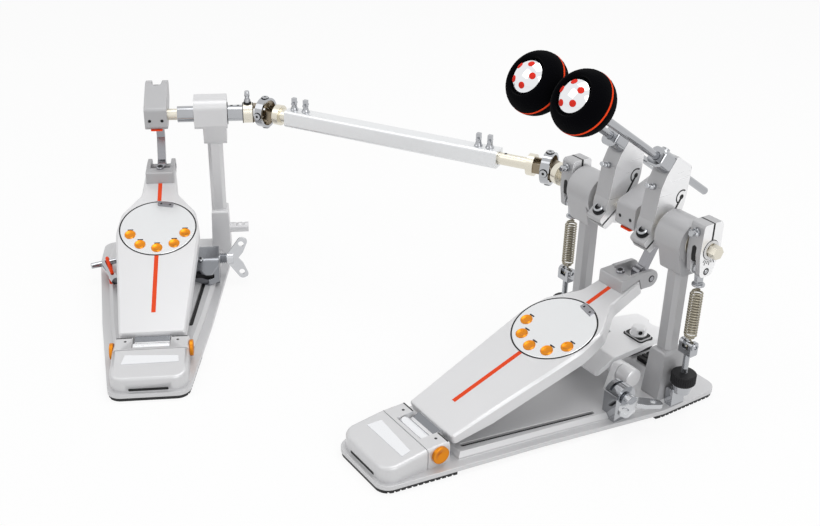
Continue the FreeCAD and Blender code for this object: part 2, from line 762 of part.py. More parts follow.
def drive_tube():
    """Square tube bored for the rod, with the yoke of the slave's joint."""
    hub_len = 8.0
    fork = spun(yoke(JOINT_FREE, hub_len), V(0, 0, 0), 180, 90)
    start = YOKE_GAP + hub_len
    collar = bar_x(TUBE_HALF - 1.5, start - 1, start + 10, 0, 0)
    body = joined([fork, collar, squared_x(TUBE_HALF, start + 9, TUBE_END)])
    span = shaft_span().Length
    bore_from = span - YOKE_GAP - ROD_IN_TUBE - 80
    body = body.cut(bar_x(TUBE_ROD_R + AIR, bore_from, TUBE_END + 1, 0, 0))
    for x in key_spots():
        body = body.cut(bar(V(x, 0, TUBE_HALF - 2.5), V(x, 0, TUBE_HALF + 1), 3.2))
    return on_shaft(body)


def key_bolts():
    """Four square-headed bolts along the top of the tube."""
    bolts = []
    for x in key_spots():
        shank = bar(V(x, 0, TUBE_HALF - 2.5), V(x, 0, TUBE_HALF + 7), 3.2 - SEAT_FIT)
        head = block(x - 2.5, x + 2.5, -2.5, 2.5, TUBE_HALF + 6, TUBE_HALF + 15)
        cross = bar(V(x, -5, TUBE_HALF + 8.5), V(x, 5, TUBE_HALF + 8.5), 1.8)
        bolts.append(on_shaft(joined([shank, head, cross])))
    return grouped(bolts)


def drive_rod():
    """Round rod that telescopes in the tube, with the yoke of the main joint."""
    hub_len = 8.0
    span = shaft_span().Length
    fork = spun(yoke(JOINT_FREE, hub_len), V(span, 0, 0), 0, 90)
    end = span - YOKE_GAP - hub_len
    body = joined([fork, bar_x(TUBE_ROD_R, end - ROD_IN_TUBE, end + 1, 0, 0)])
    return on_shaft(body)


def ring_at(point):
    """A gimbal ring square to the drive shaft."""
    span = shaft_span()
    return spun(joint_ring(), point, math.degrees(math.atan2(span.y, span.x)), 0)


def board_points(inset):
    """Plan of the footboard, drawn in by the inset."""
    return both_sides([
        (REAR_HALF - inset, inset, 4),
        (WIDE_HALF - inset, WIDE_AT, 60),
        (SHOULDER_HALF - inset, SHOULDER_AT, 22),
        (NECK_HALF - inset, NECK_AT, 18),
        (TOE_HALF - inset, BOARD_LEN - inset, 4),
    ])


def on_board(shape):
    """Tilts a shape drawn flat from the board's rear edge into place."""
    return spun(shape, V(0, BOARD_REAR_Y, BOARD_REAR_Z), 0, BOARD_TILT)


def board_hollow():
    """Cutter for the underside: a tray with a long rib and three cross ribs."""
    roof = -BOARD_THICK * 0.4
    tray = prism_z(board_points(BOARD_WALL), -BOARD_THICK - 1, roof)
    tray = tray.common(block(-WIDE_HALF, WIDE_HALF, 14, NECK_AT + 14, -BOARD_THICK - 1, roof))
    tray = tray.cut(block(-2, 2, 0, BOARD_LEN, -BOARD_THICK - 1, roof))
    for i in range(1, 4):
        v = NECK_AT * i / 4
        tray = tray.cut(block(-WIDE_HALF, WIDE_HALF, v - 2, v + 2, -BOARD_THICK - 1, roof))
    return tray


def footboard():
    """Waisted board with bevelled edge, disc recess, ribbed underside and hinge barrel."""
    body = bevelled(prism_z(board_points(0.0), -BOARD_THICK, 0), 0, 2.5)
    heel = [(-5, -10, 0), (45, -BOARD_THICK, 0), (45, -BOARD_THICK - 9, 0), (-5, -BOARD_THICK - 9, 0)]
    body = body.cut(prism_x(heel, -WIDE_HALF, WIDE_HALF)).cut(board_hollow())
    body = body.cut(bar(V(0, DISC_AT, 0.5 - DISC_THICK), V(0, DISC_AT, 1), DISC_R + 0.7))
    wide = BARREL_HALF - 1
    web = prism_x([(-20, -9.5, 0), (-20, -4, 0), (4, -4, 0), (4, -9.5, 0)], -wide, wide)
    body = on_board(body.fuse(web))
    body = joined([body, bar_x(BARREL_R, -BARREL_HALF, BARREL_HALF, HINGE_Y, HINGE_Z)])
    return body.cut(bar_x(HINGE_PIN_R + RUN_FIT, -BARREL_HALF - 1, BARREL_HALF + 1, HINGE_Y, HINGE_Z))


def stud_spots():
    """Middles of the grip studs on the disc."""
    first = -90 - STUD_STEP * (STUD_COUNT - 1) / 2
    turns = [math.radians(first + STUD_STEP * i) for i in range(STUD_COUNT)]
    return [V(STUD_RING * math.cos(t), DISC_AT + STUD_RING * math.sin(t), 0) for t in turns]


def disc():
    """Round traction disc with holes for the studs."""
    low = V(0, DISC_AT, 0.5 - DISC_THICK)
    body = Part.makeCylinder(DISC_R, DISC_THICK, low)
    for spot in stud_spots():
        body = body.cut(bar(spot - V(0, 0, DISC_THICK + 1), spot + V(0, 0, 2), STUD_R + 0.3))
    return on_board(body)


def studs():
    """Grip studs standing in the disc, flush but for a small crown."""
    made = []
    for spot in stud_spots():
        stud = Part.makeCylinder(STUD_R, STUD_LEN, spot + V(0, 0, 0.5 - DISC_THICK))
        crown = Part.makeCone(STUD_R, STUD_R - 1.5, 0.8, spot + V(0, 0, 0.5 - DISC_THICK + STUD_LEN))
        made.append(on_board(stud.fuse(crown).removeSplitter()))
    return grouped(made)


def board_spot(y, z):
    """Station along the board and height over it of a (y, z) point."""
    tilt = math.radians(BOARD_TILT)
    dy = y - BOARD_REAR_Y
    dz = z - BOARD_REAR_Z
    along = dy * math.cos(tilt) + dz * math.sin(tilt)
    return V(along, dz * math.cos(tilt) - dy * math.sin(tilt), 0)


def toe_clevis():
    """Wedge on the toe with two ears and the toe pin."""
    pin = board_spot(TOE_PIN_Y, TOE_PIN_Z)
    back = BOARD_LEN - 27
    points = [(back, 0, 0), (back + 5, 13.5, 2), (BOARD_LEN + 5, 4.5, 3), (BOARD_LEN + 5, -14, 0),
              (back, -14, 0)]
    body = prism_x(points, -EAR_OUT, EAR_OUT)
    body = body.fuse(capsule_x(V(BOARD_LEN - 6, -1, 0), pin, EAR_R, -EAR_OUT, EAR_OUT))
    body = body.cut(block(-30, 30, 0, BOARD_LEN + 0.1, -40, 0))
    body = body.cut(block(-EAR_IN, EAR_IN, BOARD_LEN - 8, BOARD_LEN + 40, -40, 40))
    return on_board(joined([body, bar_x(PIN_R, -EAR_OUT, EAR_OUT, pin.x, pin.y)]))


def link():
    """Bent direct-drive link from the cam fork to the toe pin."""
    fork = V(FORK_Y, AXLE_Z + FORK_RISE, 0)
    knee = V(FORK_Y - 3, fork.y - 60, 0)
    toe = V(TOE_PIN_Y, TOE_PIN_Z, 0)
    h = LINK_HALF
    parts = [capsule_x(fork, knee, 3.75, -h, h), capsule_x(knee, toe, 3.75, -h, h)]
    parts.append(bar_x(PIN_R + 4.5, -h, h, fork.x, fork.y))
    parts.append(bar_x(PIN_R + TOE_FREE + 3.2, -h, h, toe.x, toe.y))
    body = joined(parts).cut(bar_x(PIN_R + RUN_FIT, -h - 1, h + 1, fork.x, fork.y))
    return body.cut(bar_x(PIN_R + TOE_FREE, -h - 1, h + 1, toe.x, toe.y))


def biarc(start, leave, stop, arrive):
    """Two arcs that join two points and their directions."""
    span = stop - start
    both = leave + arrive
    spread = 2 * (1 - leave.dot(arrive))
    along = span.dot(both)
    reach = (math.sqrt(along * along + spread * span.dot(span)) - along) / spread
    first = start + leave * reach
    second = stop - arrive * reach
    meet = (first + second) * 0.5
    return [arc_toward(start, first, meet), arc_toward(meet, second, stop)]


def arc_toward(start, tip, stop):
    """Arc from start to stop that touches both lines to the tip."""
    middle = (start + stop) * 0.5
    half = (stop - start).Length / 2
    turn = math.acos(min(1.0, half / (tip - start).Length))
    bulge = (tip - middle).normalize() * (half * math.tan(turn / 2))
    return Part.Arc(start, middle + bulge, stop).toShape()


def coil_spot(turns):
    """Point and direction on the spring's coil after some turns."""
    pitch = (SPRING_TOP - SPRING_LOW) / SPRING_TURNS
    t = 2 * math.pi * turns
    spot = V(SPRING_X + SPRING_R * math.cos(t), SPRING_R * math.sin(t), SPRING_LOW + pitch * turns)
    way = V(-SPRING_R * math.sin(t), SPRING_R * math.cos(t), pitch / (2 * math.pi)).normalize()
    return spot, way


def spring_path():
    """Edges of the wire's middle line: straight stub, coil, straight stub."""
    up = V(0, 0, 1)
    low = V(SPRING_X, 0, ANCHOR_PIN_Z + 2.5 + AIR)
    low_top = low + up * (2 * WIRE_R)
    high = V(SPRING_X, 0, stirrup_floor() - AIR)
    high_low = high - up * (2 * WIRE_R)
    edges = [Part.makeLine(low, low_top)]
    spot, way = coil_spot(0)
    edges += biarc(low_top, up, spot, way)
    for i in range(2 * SPRING_TURNS):
        onward, next_way = coil_spot((i + 1) / 2)
        edges += biarc(spot, way, onward, next_way)
        spot, way = onward, next_way
    edges += biarc(spot, way, high_low, up)
    edges.append(Part.makeLine(high_low, high))
    return edges


def least_gap(edges):
    """Smallest clear gap between parts of the wire that are not neighbours."""
    points = []
    travel = 0.0
    for edge in edges:
        for i in range(6):
            spot = edge.valueAt(edge.FirstParameter + (edge.LastParameter - edge.FirstParameter) * i / 6)
            points.append((travel + edge.Length * i / 6, spot))
        travel += edge.Length
    least = travel
    for i, (here, a) in enumerate(points):
        for there, b in points[i + 1:]:
            if there - here > 8 * WIRE_R:
                least = min(least, (a - b).Length - 2 * WIRE_R)
    return least


def right_spring():
    """Return spring swept in one unbroken tube along its path."""
    edges = spring_path()
    print("spring: least gap between coils %.2f mm" % least_gap(edges))
    wire = Part.Wire(edges)
    start = V(SPRING_X, 0, ANCHOR_PIN_Z + 2.5 + AIR)
    ring = Part.Wire([Part.makeCircle(WIRE_R, start, V(0, 0, 1))])
    return wire.makePipeShell([ring], True, False)


def stirrup_floor():
    """Level of the stirrup's foot, where the spring's end meets it."""
    return SPRING_TOP + 4.5


def right_stirrup():
    """Flat hanger on the rocker pin with a round foot for the spring."""
    pin = V(ROCKER_PIN_Y, AXLE_Z - ROCKER_PIN_DROP, 0)
    x0 = SPRING_X - STIRRUP_HALF
    x1 = SPRING_X + STIRRUP_HALF
    floor = stirrup_floor()
    hole = 2.5 + STIRRUP_FREE
    head = bar_x(hole + 2.6, x0, x1, pin.x, pin.y)
    strap = capsule_x(pin, V(0, floor + 4, 0), 4.2, x0, x1)
    foot_disc = bar(V(SPRING_X, 0, floor), V(SPRING_X, 0, floor + 2.2), SPRING_R + 0.6)
    strap = strap.cut(block(x0 - 1, x1 + 1, -9, 9, floor - 9, floor))
    return joined([head, strap, foot_disc]).cut(bar_x(hole, x0 - 1, x1 + 1, pin.x, pin.y))


def right_anchor():
    """Bracket, threaded rod and fork with its pin under the right spring."""
    x = SPRING_X
    leg = prism_y([(FOOT_OUT + 1, PLATE_TOP, 0), (MAIN_FRONT - 1, PLATE_TOP, 0),
                   (MAIN_FRONT - 1, KNOB_LOW - 9, 3), (FOOT_OUT + 1, KNOB_LOW - 9, 3)], -9, 9)
    cup = Part.makeCone(8.5, 11, 10, V(x, 0, KNOB_LOW - 11))
    rod = bar(V(x, 0, KNOB_LOW - 4), V(x, 0, ANCHOR_PIN_Z - 8), 3.0)
    fork = prism_x([(-5.5, ANCHOR_PIN_Z - 11, 2), (5.5, ANCHOR_PIN_Z - 11, 2), (5.5, ANCHOR_PIN_Z + 5, 4),
                    (-5.5, ANCHOR_PIN_Z + 5, 4)], x - 8, x + 8)
    fork = fork.cut(block(x - 4, x + 4, -9, 9, ANCHOR_PIN_Z - 4, ANCHOR_PIN_Z + 9))
    pin = bar_x(2.5, x - 8, x + 8, 0, ANCHOR_PIN_Z)
    return joined([leg, cup, rod, fork, pin])


def right_knob():
    """Round tension nut with a scalloped rim."""
    body = bar(V(SPRING_X, 0, KNOB_LOW), V(SPRING_X, 0, KNOB_HIGH), KNOB_R)
    body = bevelled(body, KNOB_HIGH, 1.5)
    for i in range(16):
        t = math.radians(22.5 * i)
        spot = V(SPRING_X + (KNOB_R + 0.8) * math.cos(t), (KNOB_R + 0.8) * math.sin(t), 0)
        body = body.cut(bar(spot + V(0, 0, KNOB_LOW - 1), spot + V(0, 0, KNOB_HIGH + 1), 1.6))
    return body.cut(bar(V(SPRING_X, 0, 0), V(SPRING_X, 0, KNOB_HIGH + 9), 3.0 + RUN_FIT))


def hoop_clamp_block():
    """Cheeks with the jaw's pivot pin and roller, and the block that guides the wing bolt."""
    pin_y = JAW_PIVOT_Y
    pin_z = JAW_PIVOT_Z
    side = [(pin_y - 16, PANEL_TOP, 0), (pin_y + 16, PANEL_TOP, 0), (pin_y + 7, pin_z + 9, 6),
            (pin_y - 7, pin_z + 9, 6)]
    inner = JAW_HALF + 1.5
    right = prism_x(side, inner, inner + 8)
    roller = bar_x(8.0, inner + 8, inner + 26, pin_y, pin_z)
    pin = bar_x(JAW_PIN_R, -inner - 8, inner + 10, pin_y, pin_z)
    frame = joined([right, mirrored(right), roller, pin])
    half = GUIDE_HALF
    guide = prism_x([(WING_Y - half, PLATE_TOP, 0), (WING_Y + half, PLATE_TOP, 0),
                     (WING_Y + half, WING_Z + half, 12), (WING_Y - half, WING_Z + half, 12)],
                    GUIDE_IN, FOOT_OUT)
    guide = guide.cut(block(FOOT_IN + 11, FOOT_IN + 14, WING_Y - 20, WING_Y + 20, WING_Z + 7, WING_Z + 20))
    guide = guide.cut(bar_x(WING_SHANK_R + RUN_FIT, 0, WING_X, WING_Y, WING_Z))
    return grouped([frame, guide])


def hoop_jaw():
    """Curved jaw plate with two rounded noses, a slot and its pivot barrel."""
    top = JAW_TOP
    side = [(-66, top - 14, 3), (-40, top - 2, 14), (12, top, 30), (JAW_NOSE, top - 5, 6),
            (JAW_NOSE, top - 14, 2), (JAW_NOSE - 9, top - 14, 2), (JAW_NOSE - 11, top - 9, 4),
            (10, top - 6, 20), (-38, top - 8, 8), (-62, top - 18, 2)]
    plan = both_sides([(JAW_HALF, -66, 9), (JAW_HALF, 2, 14), (JAW_HALF - 6, JAW_NOSE, 11)])
    body = prism_x(side, -JAW_HALF, JAW_HALF).common(prism_z(plan, 0, top + 9))
    body = body.cut(bar(V(0, JAW_NOSE + 4, 0), V(0, JAW_NOSE + 4, top + 9), 13))
    body = body.cut(prism_z([(-16, -16, 2), (-8, -16, 2), (-8, -6, 2), (-16, -6, 2)], 0, top + 9))
    barrel = bar_x(8.0, -JAW_HALF, JAW_HALF, JAW_PIVOT_Y, JAW_PIVOT_Z)
    body = joined([body, barrel])
    return body.cut(bar_x(JAW_PIN_R + RUN_FIT, -JAW_HALF - 1, JAW_HALF + 1, JAW_PIVOT_Y, JAW_PIVOT_Z))


def hoop_pads():
    """Two grooved rubber pads under the hoop."""
    pad = block(4, JAW_HALF - 2, PANEL_END + 6, MAIN_END - 4, PLATE_TOP, PAD_TOP)
    for i in range(4):
        y = PANEL_END + 11 + 7 * i
        pad = pad.cut(block(0, JAW_HALF, y, y + 2, PAD_TOP - 1.2, PAD_TOP + 1))
    return grouped([pad, mirrored(pad)])


def wing(x, y, reach, lean, shank_from):
    """Wing bolt along x: shank, hub and two pierced blades that flare outward from the hub."""
    middle = V(x, y, WING_Z)
    half = WING_THICK / 2
    tip = x + WING_OUT
    made = [bar_x(WING_R, x, x + WING_R, y, WING_Z), bar_x(WING_SHANK_R, shank_from, x + 1, y, WING_Z)]
    for turn in (0, 180):
        blade = prism_z([(x + 1, 0, 0), (x + 1, WING_R, 4), (tip - 10, reach, 6), (tip, reach - 4, 4),
                         (tip - 7, WING_R, 7), (tip - 13, 0, 0)], -half, half)
        spot = V(tip - 9, reach * 0.66, 0)
        blade = blade.cut(bar(spot - V(0, 0, half + 1), spot + V(0, 0, half + 1), WING_R * 0.5))
        blade = blade.translated(V(0, y, WING_Z))
        blade.rotate(middle, V(1, 0, 0), lean + turn)
        made.append(blade)
    return joined(made)


def slave_clamp_block():
    """Clamp beside the slave's board: wedge-nosed lower jaw, slot, domed upper jaw and its side foot."""
    y = SLAVE_WING_Y
    half = SLAVE_CLAMP_HALF
    nose = y - SLAVE_CLAMP_NOSE
    side = [(nose, PANEL_TOP, 0), (y + half, PANEL_TOP, 0), (y + half, WING_Z + 4, 8),
            (y + 6, WING_Z + 15, 9), (y - 20, WING_Z + 9, 12), (nose, PANEL_TOP + 10, 5)]
    plan = [(SLAVE_CLAMP_IN, nose + 15, 3), (SLAVE_CLAMP_FOOT - 3, nose, 3), (SLAVE_CLAMP_OUT, nose + 11, 3),
            (SLAVE_CLAMP_OUT, y + half, 3), (SLAVE_CLAMP_IN, y + half, 3)]
    body = prism_x(side, SLAVE_CLAMP_IN, SLAVE_CLAMP_OUT).common(prism_z(plan, PANEL_TOP, WING_Z + 20))
    slot_z = PANEL_TOP + 8
    body = body.cut(block(SLAVE_CLAMP_IN - 1, SLAVE_CLAMP_OUT - 6, nose - 1, y - half, slot_z, slot_z + 5))
    step = block(SLAVE_CLAMP_FOOT, SLAVE_CLAMP_OUT, y - half, y + half - 4, PLATE_TOP, PANEL_TOP + 1)
    body = joined([body, step])
    return body.cut(bar_x(WING_SHANK_R + RUN_FIT, 0, SLAVE_WING_X, y, WING_Z))


def key_clip():
    """Sprung clip on the slave's plate that holds the drum key."""
    foot_part = block(-72, -66, -56, -46, PLATE_TOP, PANEL_TOP + 4)
    strip = prism_z([(-73, -44, 2), (-67, -43, 2), (-57, -100, 2), (-63, -101, 2)],
                    PANEL_TOP + 0.2, PANEL_TOP + 4)
    return joined([foot_part, strip])


def drum_key():
    """T-handled key lying on the clip."""
    z = PANEL_TOP + 4 + 4.0
    shank = bar(V(-74, -60, z), V(-56, -104, z), 4.0)
    handle = bar(V(-88, -66, z), V(-60, -54, z), 3.6)
    socket = bar(V(-59, -97, z), V(-54, -109, z), 5.0).cut(block(-80, -40, -120, -90, z - 9, z - 4))
    return joined([shank, handle, socket])


def main_pedal():
    """Nodes of the main pedal."""
    foot_y = (-FOOT_DEEP, FOOT_DEEP)
    leg_y = (-9, 9)
    seats = [(FOOT_IN, FOOT_OUT) + foot_y, (-FOOT_OUT, -FOOT_IN) + foot_y,
             (FOOT_OUT + 1, MAIN_FRONT) + leg_y, (-MAIN_FRONT, -FOOT_OUT - 1) + leg_y,
             (GUIDE_IN, FOOT_OUT, WING_Y - GUIDE_HALF, WING_Y + GUIDE_HALF)]
    main_groove = (GROOVE_IN, GROOVE_START, GROOVE_OUT, GROOVE_END)
    holder = beater_holder()
    left = V(-2 * HOLDER_X, 0, 0)
    rings = bearing_pair(HOUSING_IN, HOUSING_OUT)
    stirrup = right_stirrup()
    spring = right_spring()
    anchor = right_anchor()
    post = right_post()
    arm = rocker()
    nodes = {
        "main_sole": sole(main_points),
        "main_base_plate": base_plate(main_points, main_groove, seats),
        "main_heel_block": heel_block(),
        "main_hinge_bolts": hinge_bolts(),
        "main_right_post": post,
        "main_left_post": mirrored(post),
        "main_bearings": grouped(rings + [mirrored(r) for r in rings]),
        "spring_anchors": grouped([anchor, mirrored(anchor)]),
        "hoop_clamp_block": hoop_clamp_block(),
        "hoop_pads": hoop_pads(),
        "hoop_jaw": hoop_jaw(),
        "hoop_wing": wing(WING_X, WING_Y, WING_REACH, WING_LEAN, FOOT_IN),
        "main_axle": main_axle(),
        "main_cam": cam(),
        "right_rocker": arm,
        "left_rocker": mirrored(arm),
        "left_axle": left_axle(),
        "right_spring": spring,
        "left_spring": spring.translated(V(-2 * SPRING_X, 0, 0)),
        "right_stirrup": stirrup,
        "left_stirrup": mirrored(stirrup),
        "right_knob": right_knob(),
        "left_knob": mirrored(right_knob()),
    }
    beater = {
        "beater_holder": holder,
        "rod_clamp": rod_clamp(),
        "beater_rod": beater_rod(),
        "beater_felt": felt(),
        "beater_cap": felt_cap(),
    }
    for name, shape in beater.items():
        nodes["right_" + name] = shape
        nodes["left_" + name] = shape.translated(left)
    return nodes


def pedal_board(side):
    """Nodes that both pedals have alike."""
    return {
        side + "_footboard": footboard(),
        side + "_disc": disc(),
        side + "_studs": studs(),
        side + "_toe_clevis": toe_clevis(),
        side + "_link": link(),
    }


def slave_pedal():
    """Nodes of the slave pedal in pedal coordinates."""
    shift = SLAVE_POST_X - POST_X
    step_y = (SLAVE_WING_Y - SLAVE_CLAMP_HALF, SLAVE_WING_Y + SLAVE_CLAMP_HALF - 4)
    seats = [(FOOT_IN + shift, FOOT_OUT + shift, -FOOT_DEEP, FOOT_DEEP), (-72, -66, -56, -46),
             (SLAVE_CLAMP_FOOT, SLAVE_CLAMP_OUT) + step_y]
    slave_groove = (SLAVE_GROOVE_IN, SLAVE_GROOVE_START, SLAVE_GROOVE_OUT, SLAVE_GROOVE_END)
    nodes = {
        "slave_sole": sole(slave_points),
        "slave_base_plate": base_plate(slave_points, slave_groove, seats),
        "slave_heel_block": heel_block(),
        "slave_hinge_bolts": hinge_bolts(),
        "slave_post": slave_post(),
        "slave_bearings": grouped(bearing_pair(SLAVE_HOUSING_IN, SLAVE_HOUSING_OUT)),
        "slave_clamp_block": slave_clamp_block(),
        "key_clip": key_clip(),
        "drum_key": drum_key(),
        "slave_wing": wing(SLAVE_WING_X, SLAVE_WING_Y, SLAVE_WING_REACH, SLAVE_WING_LEAN, FOOT_IN - 10),
        "slave_axle": slave_axle(),
        "slave_cam": cam(),
    }
    nodes.update(pedal_board("slave"))
    return nodes


def drive_shaft():
    """Nodes of the shaft between the pedals."""
    return {
        "drive_tube": drive_tube(),
        "drive_key_bolts": key_bolts(),
        "drive_rod": drive_rod(),
        "slave_joint_ring": ring_at(slave_joint_point()),
        "main_joint_ring": ring_at(V(MAIN_JOINT, 0, AXLE_Z)),
    }


def build():
    """All nodes in the shared frame."""
    nodes = main_pedal()
    nodes.update(pedal_board("main"))
    for name, shape in slave_pedal().items():
        nodes[name] = to_slave(shape)
    nodes.update(drive_shaft())
    return nodes


os.makedirs("parts", exist_ok=True)
for name, shape in build().items():
    shape.exportStep("parts/" + name + ".step")
    print("%s: %d solid(s), valid %s" % (name, len(shape.Solids), shape.isValid()))
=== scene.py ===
"""Looks of a double bass drum pedal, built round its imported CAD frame."""

import json
import logging
import math
from collections.abc import Sequence
from dataclasses import dataclass, field
from enum import Enum

import bmesh
import bpy
import numpy as np
from mathutils import Matrix, Vector


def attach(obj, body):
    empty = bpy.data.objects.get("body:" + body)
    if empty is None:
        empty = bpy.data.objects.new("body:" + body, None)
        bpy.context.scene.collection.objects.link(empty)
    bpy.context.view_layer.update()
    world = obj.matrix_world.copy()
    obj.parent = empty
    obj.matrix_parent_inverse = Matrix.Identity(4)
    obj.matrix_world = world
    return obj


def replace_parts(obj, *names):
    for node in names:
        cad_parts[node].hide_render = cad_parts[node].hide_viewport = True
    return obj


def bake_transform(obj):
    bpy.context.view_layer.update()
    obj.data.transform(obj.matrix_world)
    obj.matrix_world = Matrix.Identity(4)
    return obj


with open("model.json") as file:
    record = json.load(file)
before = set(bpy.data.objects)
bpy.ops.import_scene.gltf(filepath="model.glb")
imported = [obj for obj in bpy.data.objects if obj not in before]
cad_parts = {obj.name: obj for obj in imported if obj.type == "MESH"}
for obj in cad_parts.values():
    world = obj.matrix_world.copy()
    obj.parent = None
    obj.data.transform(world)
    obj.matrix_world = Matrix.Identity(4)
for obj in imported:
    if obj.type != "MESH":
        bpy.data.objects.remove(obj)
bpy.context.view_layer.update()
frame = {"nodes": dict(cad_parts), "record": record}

log = logging.getLogger("drum_pedal")
MM = 0.001
Pair = tuple[float, float]
Triple = tuple[float, float, float]
Quad = tuple[float, float, float, float]
Profile = Sequence[Pair]
ACROSS = Vector((1.0, 0.0, 0.0))
BACK = Vector((0.0, -1.0, 0.0))
UP = Vector((0.0, 0.0, 1.0))
WHITE = (1.0, 1.0, 1.0, 1.0)
# Depth of the relief of felt and of all else, in metres, and how felt takes light.
FELT_BUMP = 0.0006
FINE_BUMP = 0.0002
FELT_IOR = 1.05
FELT_SHEEN = 0.03


class Texture(Enum):
    """How a finish feels to the finger."""

    POLISHED = "polished"
    CAST = "cast"
    BRUSHED = "brushed"
    MATTE = "matte"
    FELT = "felt"


def put(tree: bpy.types.NodeTree, kind: str, inputs: dict[str | int, object] | None = None,
        **traits: object) -> bpy.types.Node:
    """Adds a node to a tree.

    Args:
        tree: the node tree.
        kind: type of the node.
        inputs: values of its input sockets.
        **traits: its other settings, which are set first.

    Returns:
        The node.
    """
    node = tree.nodes.new(kind)
    for name, value in traits.items():
        setattr(node, name, value)
    for label, value in (inputs or {}).items():
        node.inputs[label].default_value = value
    return node


def wire(tree: bpy.types.NodeTree,
         *links: tuple[bpy.types.Node, str, bpy.types.Node, str | int]) -> None:
    """Links nodes of a tree.

    Args:
        tree: the node tree.
        *links: for each link a node, its output, the next node and its input.
    """
    for source, out, target, into in links:
        tree.links.new(source.outputs[out], target.inputs[into])


def new_group(name: str, inputs: dict[str, float], outputs: dict[str, str]) -> bpy.types.NodeTree:
    """Makes an empty shader node group.

    Args:
        name: the group's name.
        inputs: float input names with their defaults.
        outputs: output names with their socket types.

    Returns:
        The node group, holding its input and output nodes.
    """
    group = bpy.data.node_groups.new(name, "ShaderNodeTree")
    for label, value in inputs.items():
        socket = group.interface.new_socket(label, in_out="INPUT", socket_type="NodeSocketFloat")
        socket.default_value = value
    for label, kind in outputs.items():
        group.interface.new_socket(label, in_out="OUTPUT", socket_type=kind)
    put(group, "NodeGroupInput", name="in")
    put(group, "NodeGroupOutput", name="out")
    return group


def feel_group(brushed: bool) -> bpy.types.NodeTree:
    """Fine relief of a surface, as a height and an uneven roughness.

    Args:
        brushed: whether it is the lines of drawn metal, or else the grain of a casting.

    Returns:
        The node group.
    """
    name = "brush_lines" if brushed else "fine_grain"
    made = bpy.data.node_groups.get(name)
    if made:
        return made
    group = new_group(name, {"Scale": 900.0, "Low": 0.4, "High": 0.5},
                      {"Height": "NodeSocketFloat", "Roughness": "NodeSocketFloat"})
    given, out = group.nodes["in"], group.nodes["out"]
    place = put(group, "ShaderNodeTexCoord")
    spread = put(group, "ShaderNodeMapRange")
    if brushed:
        stretch = put(group, "ShaderNodeMapping", {"Scale": (1.0, 0.03, 1.0)})
        relief = broad = put(group, "ShaderNodeTexNoise", {"Detail": 2.0})
        wire(group, (place, "Object", stretch, "Vector"), (stretch, "Vector", relief, "Vector"))
    else:
        relief = put(group, "ShaderNodeTexNoise", {"Detail": 3.0})
        broad = put(group, "ShaderNodeTexNoise", {"Scale": 22.0})
        wire(group, (place, "Object", relief, "Vector"), (place, "Object", broad, "Vector"))
    wire(group, (given, "Scale", relief, "Scale"), (broad, "Fac", spread, "Value"),
         (given, "Low", spread, "To Min"), (given, "High", spread, "To Max"),
         (relief, "Fac", out, "Height"), (spread, "Result", out, "Roughness"))
    return group


def tone_group() -> bpy.types.NodeTree:
    """Slight unevenness of a colour over a surface.

    Returns:
        The node group.
    """
    made = bpy.data.node_groups.get("uneven_tone")
    if made:
        return made
    group = new_group("uneven_tone", {"Scale": 30.0, "Depth": 0.1}, {"Colour": "NodeSocketColor"})
    tint = group.interface.new_socket("Tint", in_out="INPUT", socket_type="NodeSocketColor")
    tint.default_value = (0.8, 0.8, 0.8, 1.0)
    given, out = group.nodes["in"], group.nodes["out"]
    place = put(group, "ShaderNodeTexCoord")
    cloud = put(group, "ShaderNodeTexNoise", {"Detail": 4.0})
    share = put(group, "ShaderNodeMath", operation="MULTIPLY")
    darker = put(group, "ShaderNodeMix", {"B": (0.55, 0.55, 0.55, 1.0)}, data_type="RGBA",
                 blend_type="MULTIPLY")
    wire(group, (place, "Object", cloud, "Vector"), (given, "Scale", cloud, "Scale"),
         (cloud, "Fac", share, 0), (given, "Depth", share, 1), (share, "Value", darker, "Factor"),
         (given, "Tint", darker, "A"), (darker, "Result", out, "Colour"))
    return group


@dataclass(frozen=True)
class Finish:
    """One finish: colour, gloss and feel of a surface.

    Attributes:
        name: plain name of the finish.
        slot: material slot of the record that it belongs to.
        colour: base colour, linear.
        metallic: share of bare metal.
        roughness: lowest and highest roughness over the surface.
        texture: kind of fine relief.
        relief: strength of the fine relief.
        scale: fineness of the relief.
        uneven: depth of the unevenness of the colour.
        gloss: level of the mirror-like reflection.
    """

    name: str
    slot: str
    colour: Triple
    metallic: float
    roughness: Pair
    texture: Texture = Texture.POLISHED
    relief: float = 0.0
    scale: float = 900.0
    uneven: float = 0.05
    gloss: float = 0.5

    def material(self) -> bpy.types.Material:
        """Builds the procedural material once and returns it.

        Returns:
            The material.
        """
        made = bpy.data.materials.get(self.name)
        if made:
            return made
        material = bpy.data.materials.new(self.name)
        material.use_nodes = True
        tree = material.node_tree
        shader = tree.nodes["Principled BSDF"]
        shader.inputs["Metallic"].default_value = self.metallic
        shader.inputs["Specular IOR Level"].default_value = self.gloss
        tone = put(tree, "ShaderNodeGroup", {"Tint": (*self.colour, 1.0), "Depth": self.uneven},
                   node_tree=tone_group())
        low, high = self.roughness
        feel = put(tree, "ShaderNodeGroup", {"Scale": self.scale, "Low": low, "High": high},
                   node_tree=feel_group(self.texture is Texture.BRUSHED))
        wire(tree, (tone, "Colour", shader, "Base Color"), (feel, "Roughness", shader, "Roughness"))
        if self.relief > 0.0:
            depth = FELT_BUMP if self.texture is Texture.FELT else FINE_BUMP
            bump = put(tree, "ShaderNodeBump", {"Strength": self.relief, "Distance": depth})
            wire(tree, (feel, "Height", bump, "Height"), (bump, "Normal", shader, "Normal"))
        if self.texture is Texture.FELT:
            shader.inputs["IOR"].default_value = FELT_IOR
            shader.inputs["Sheen Weight"].default_value = FELT_SHEEN
        return material


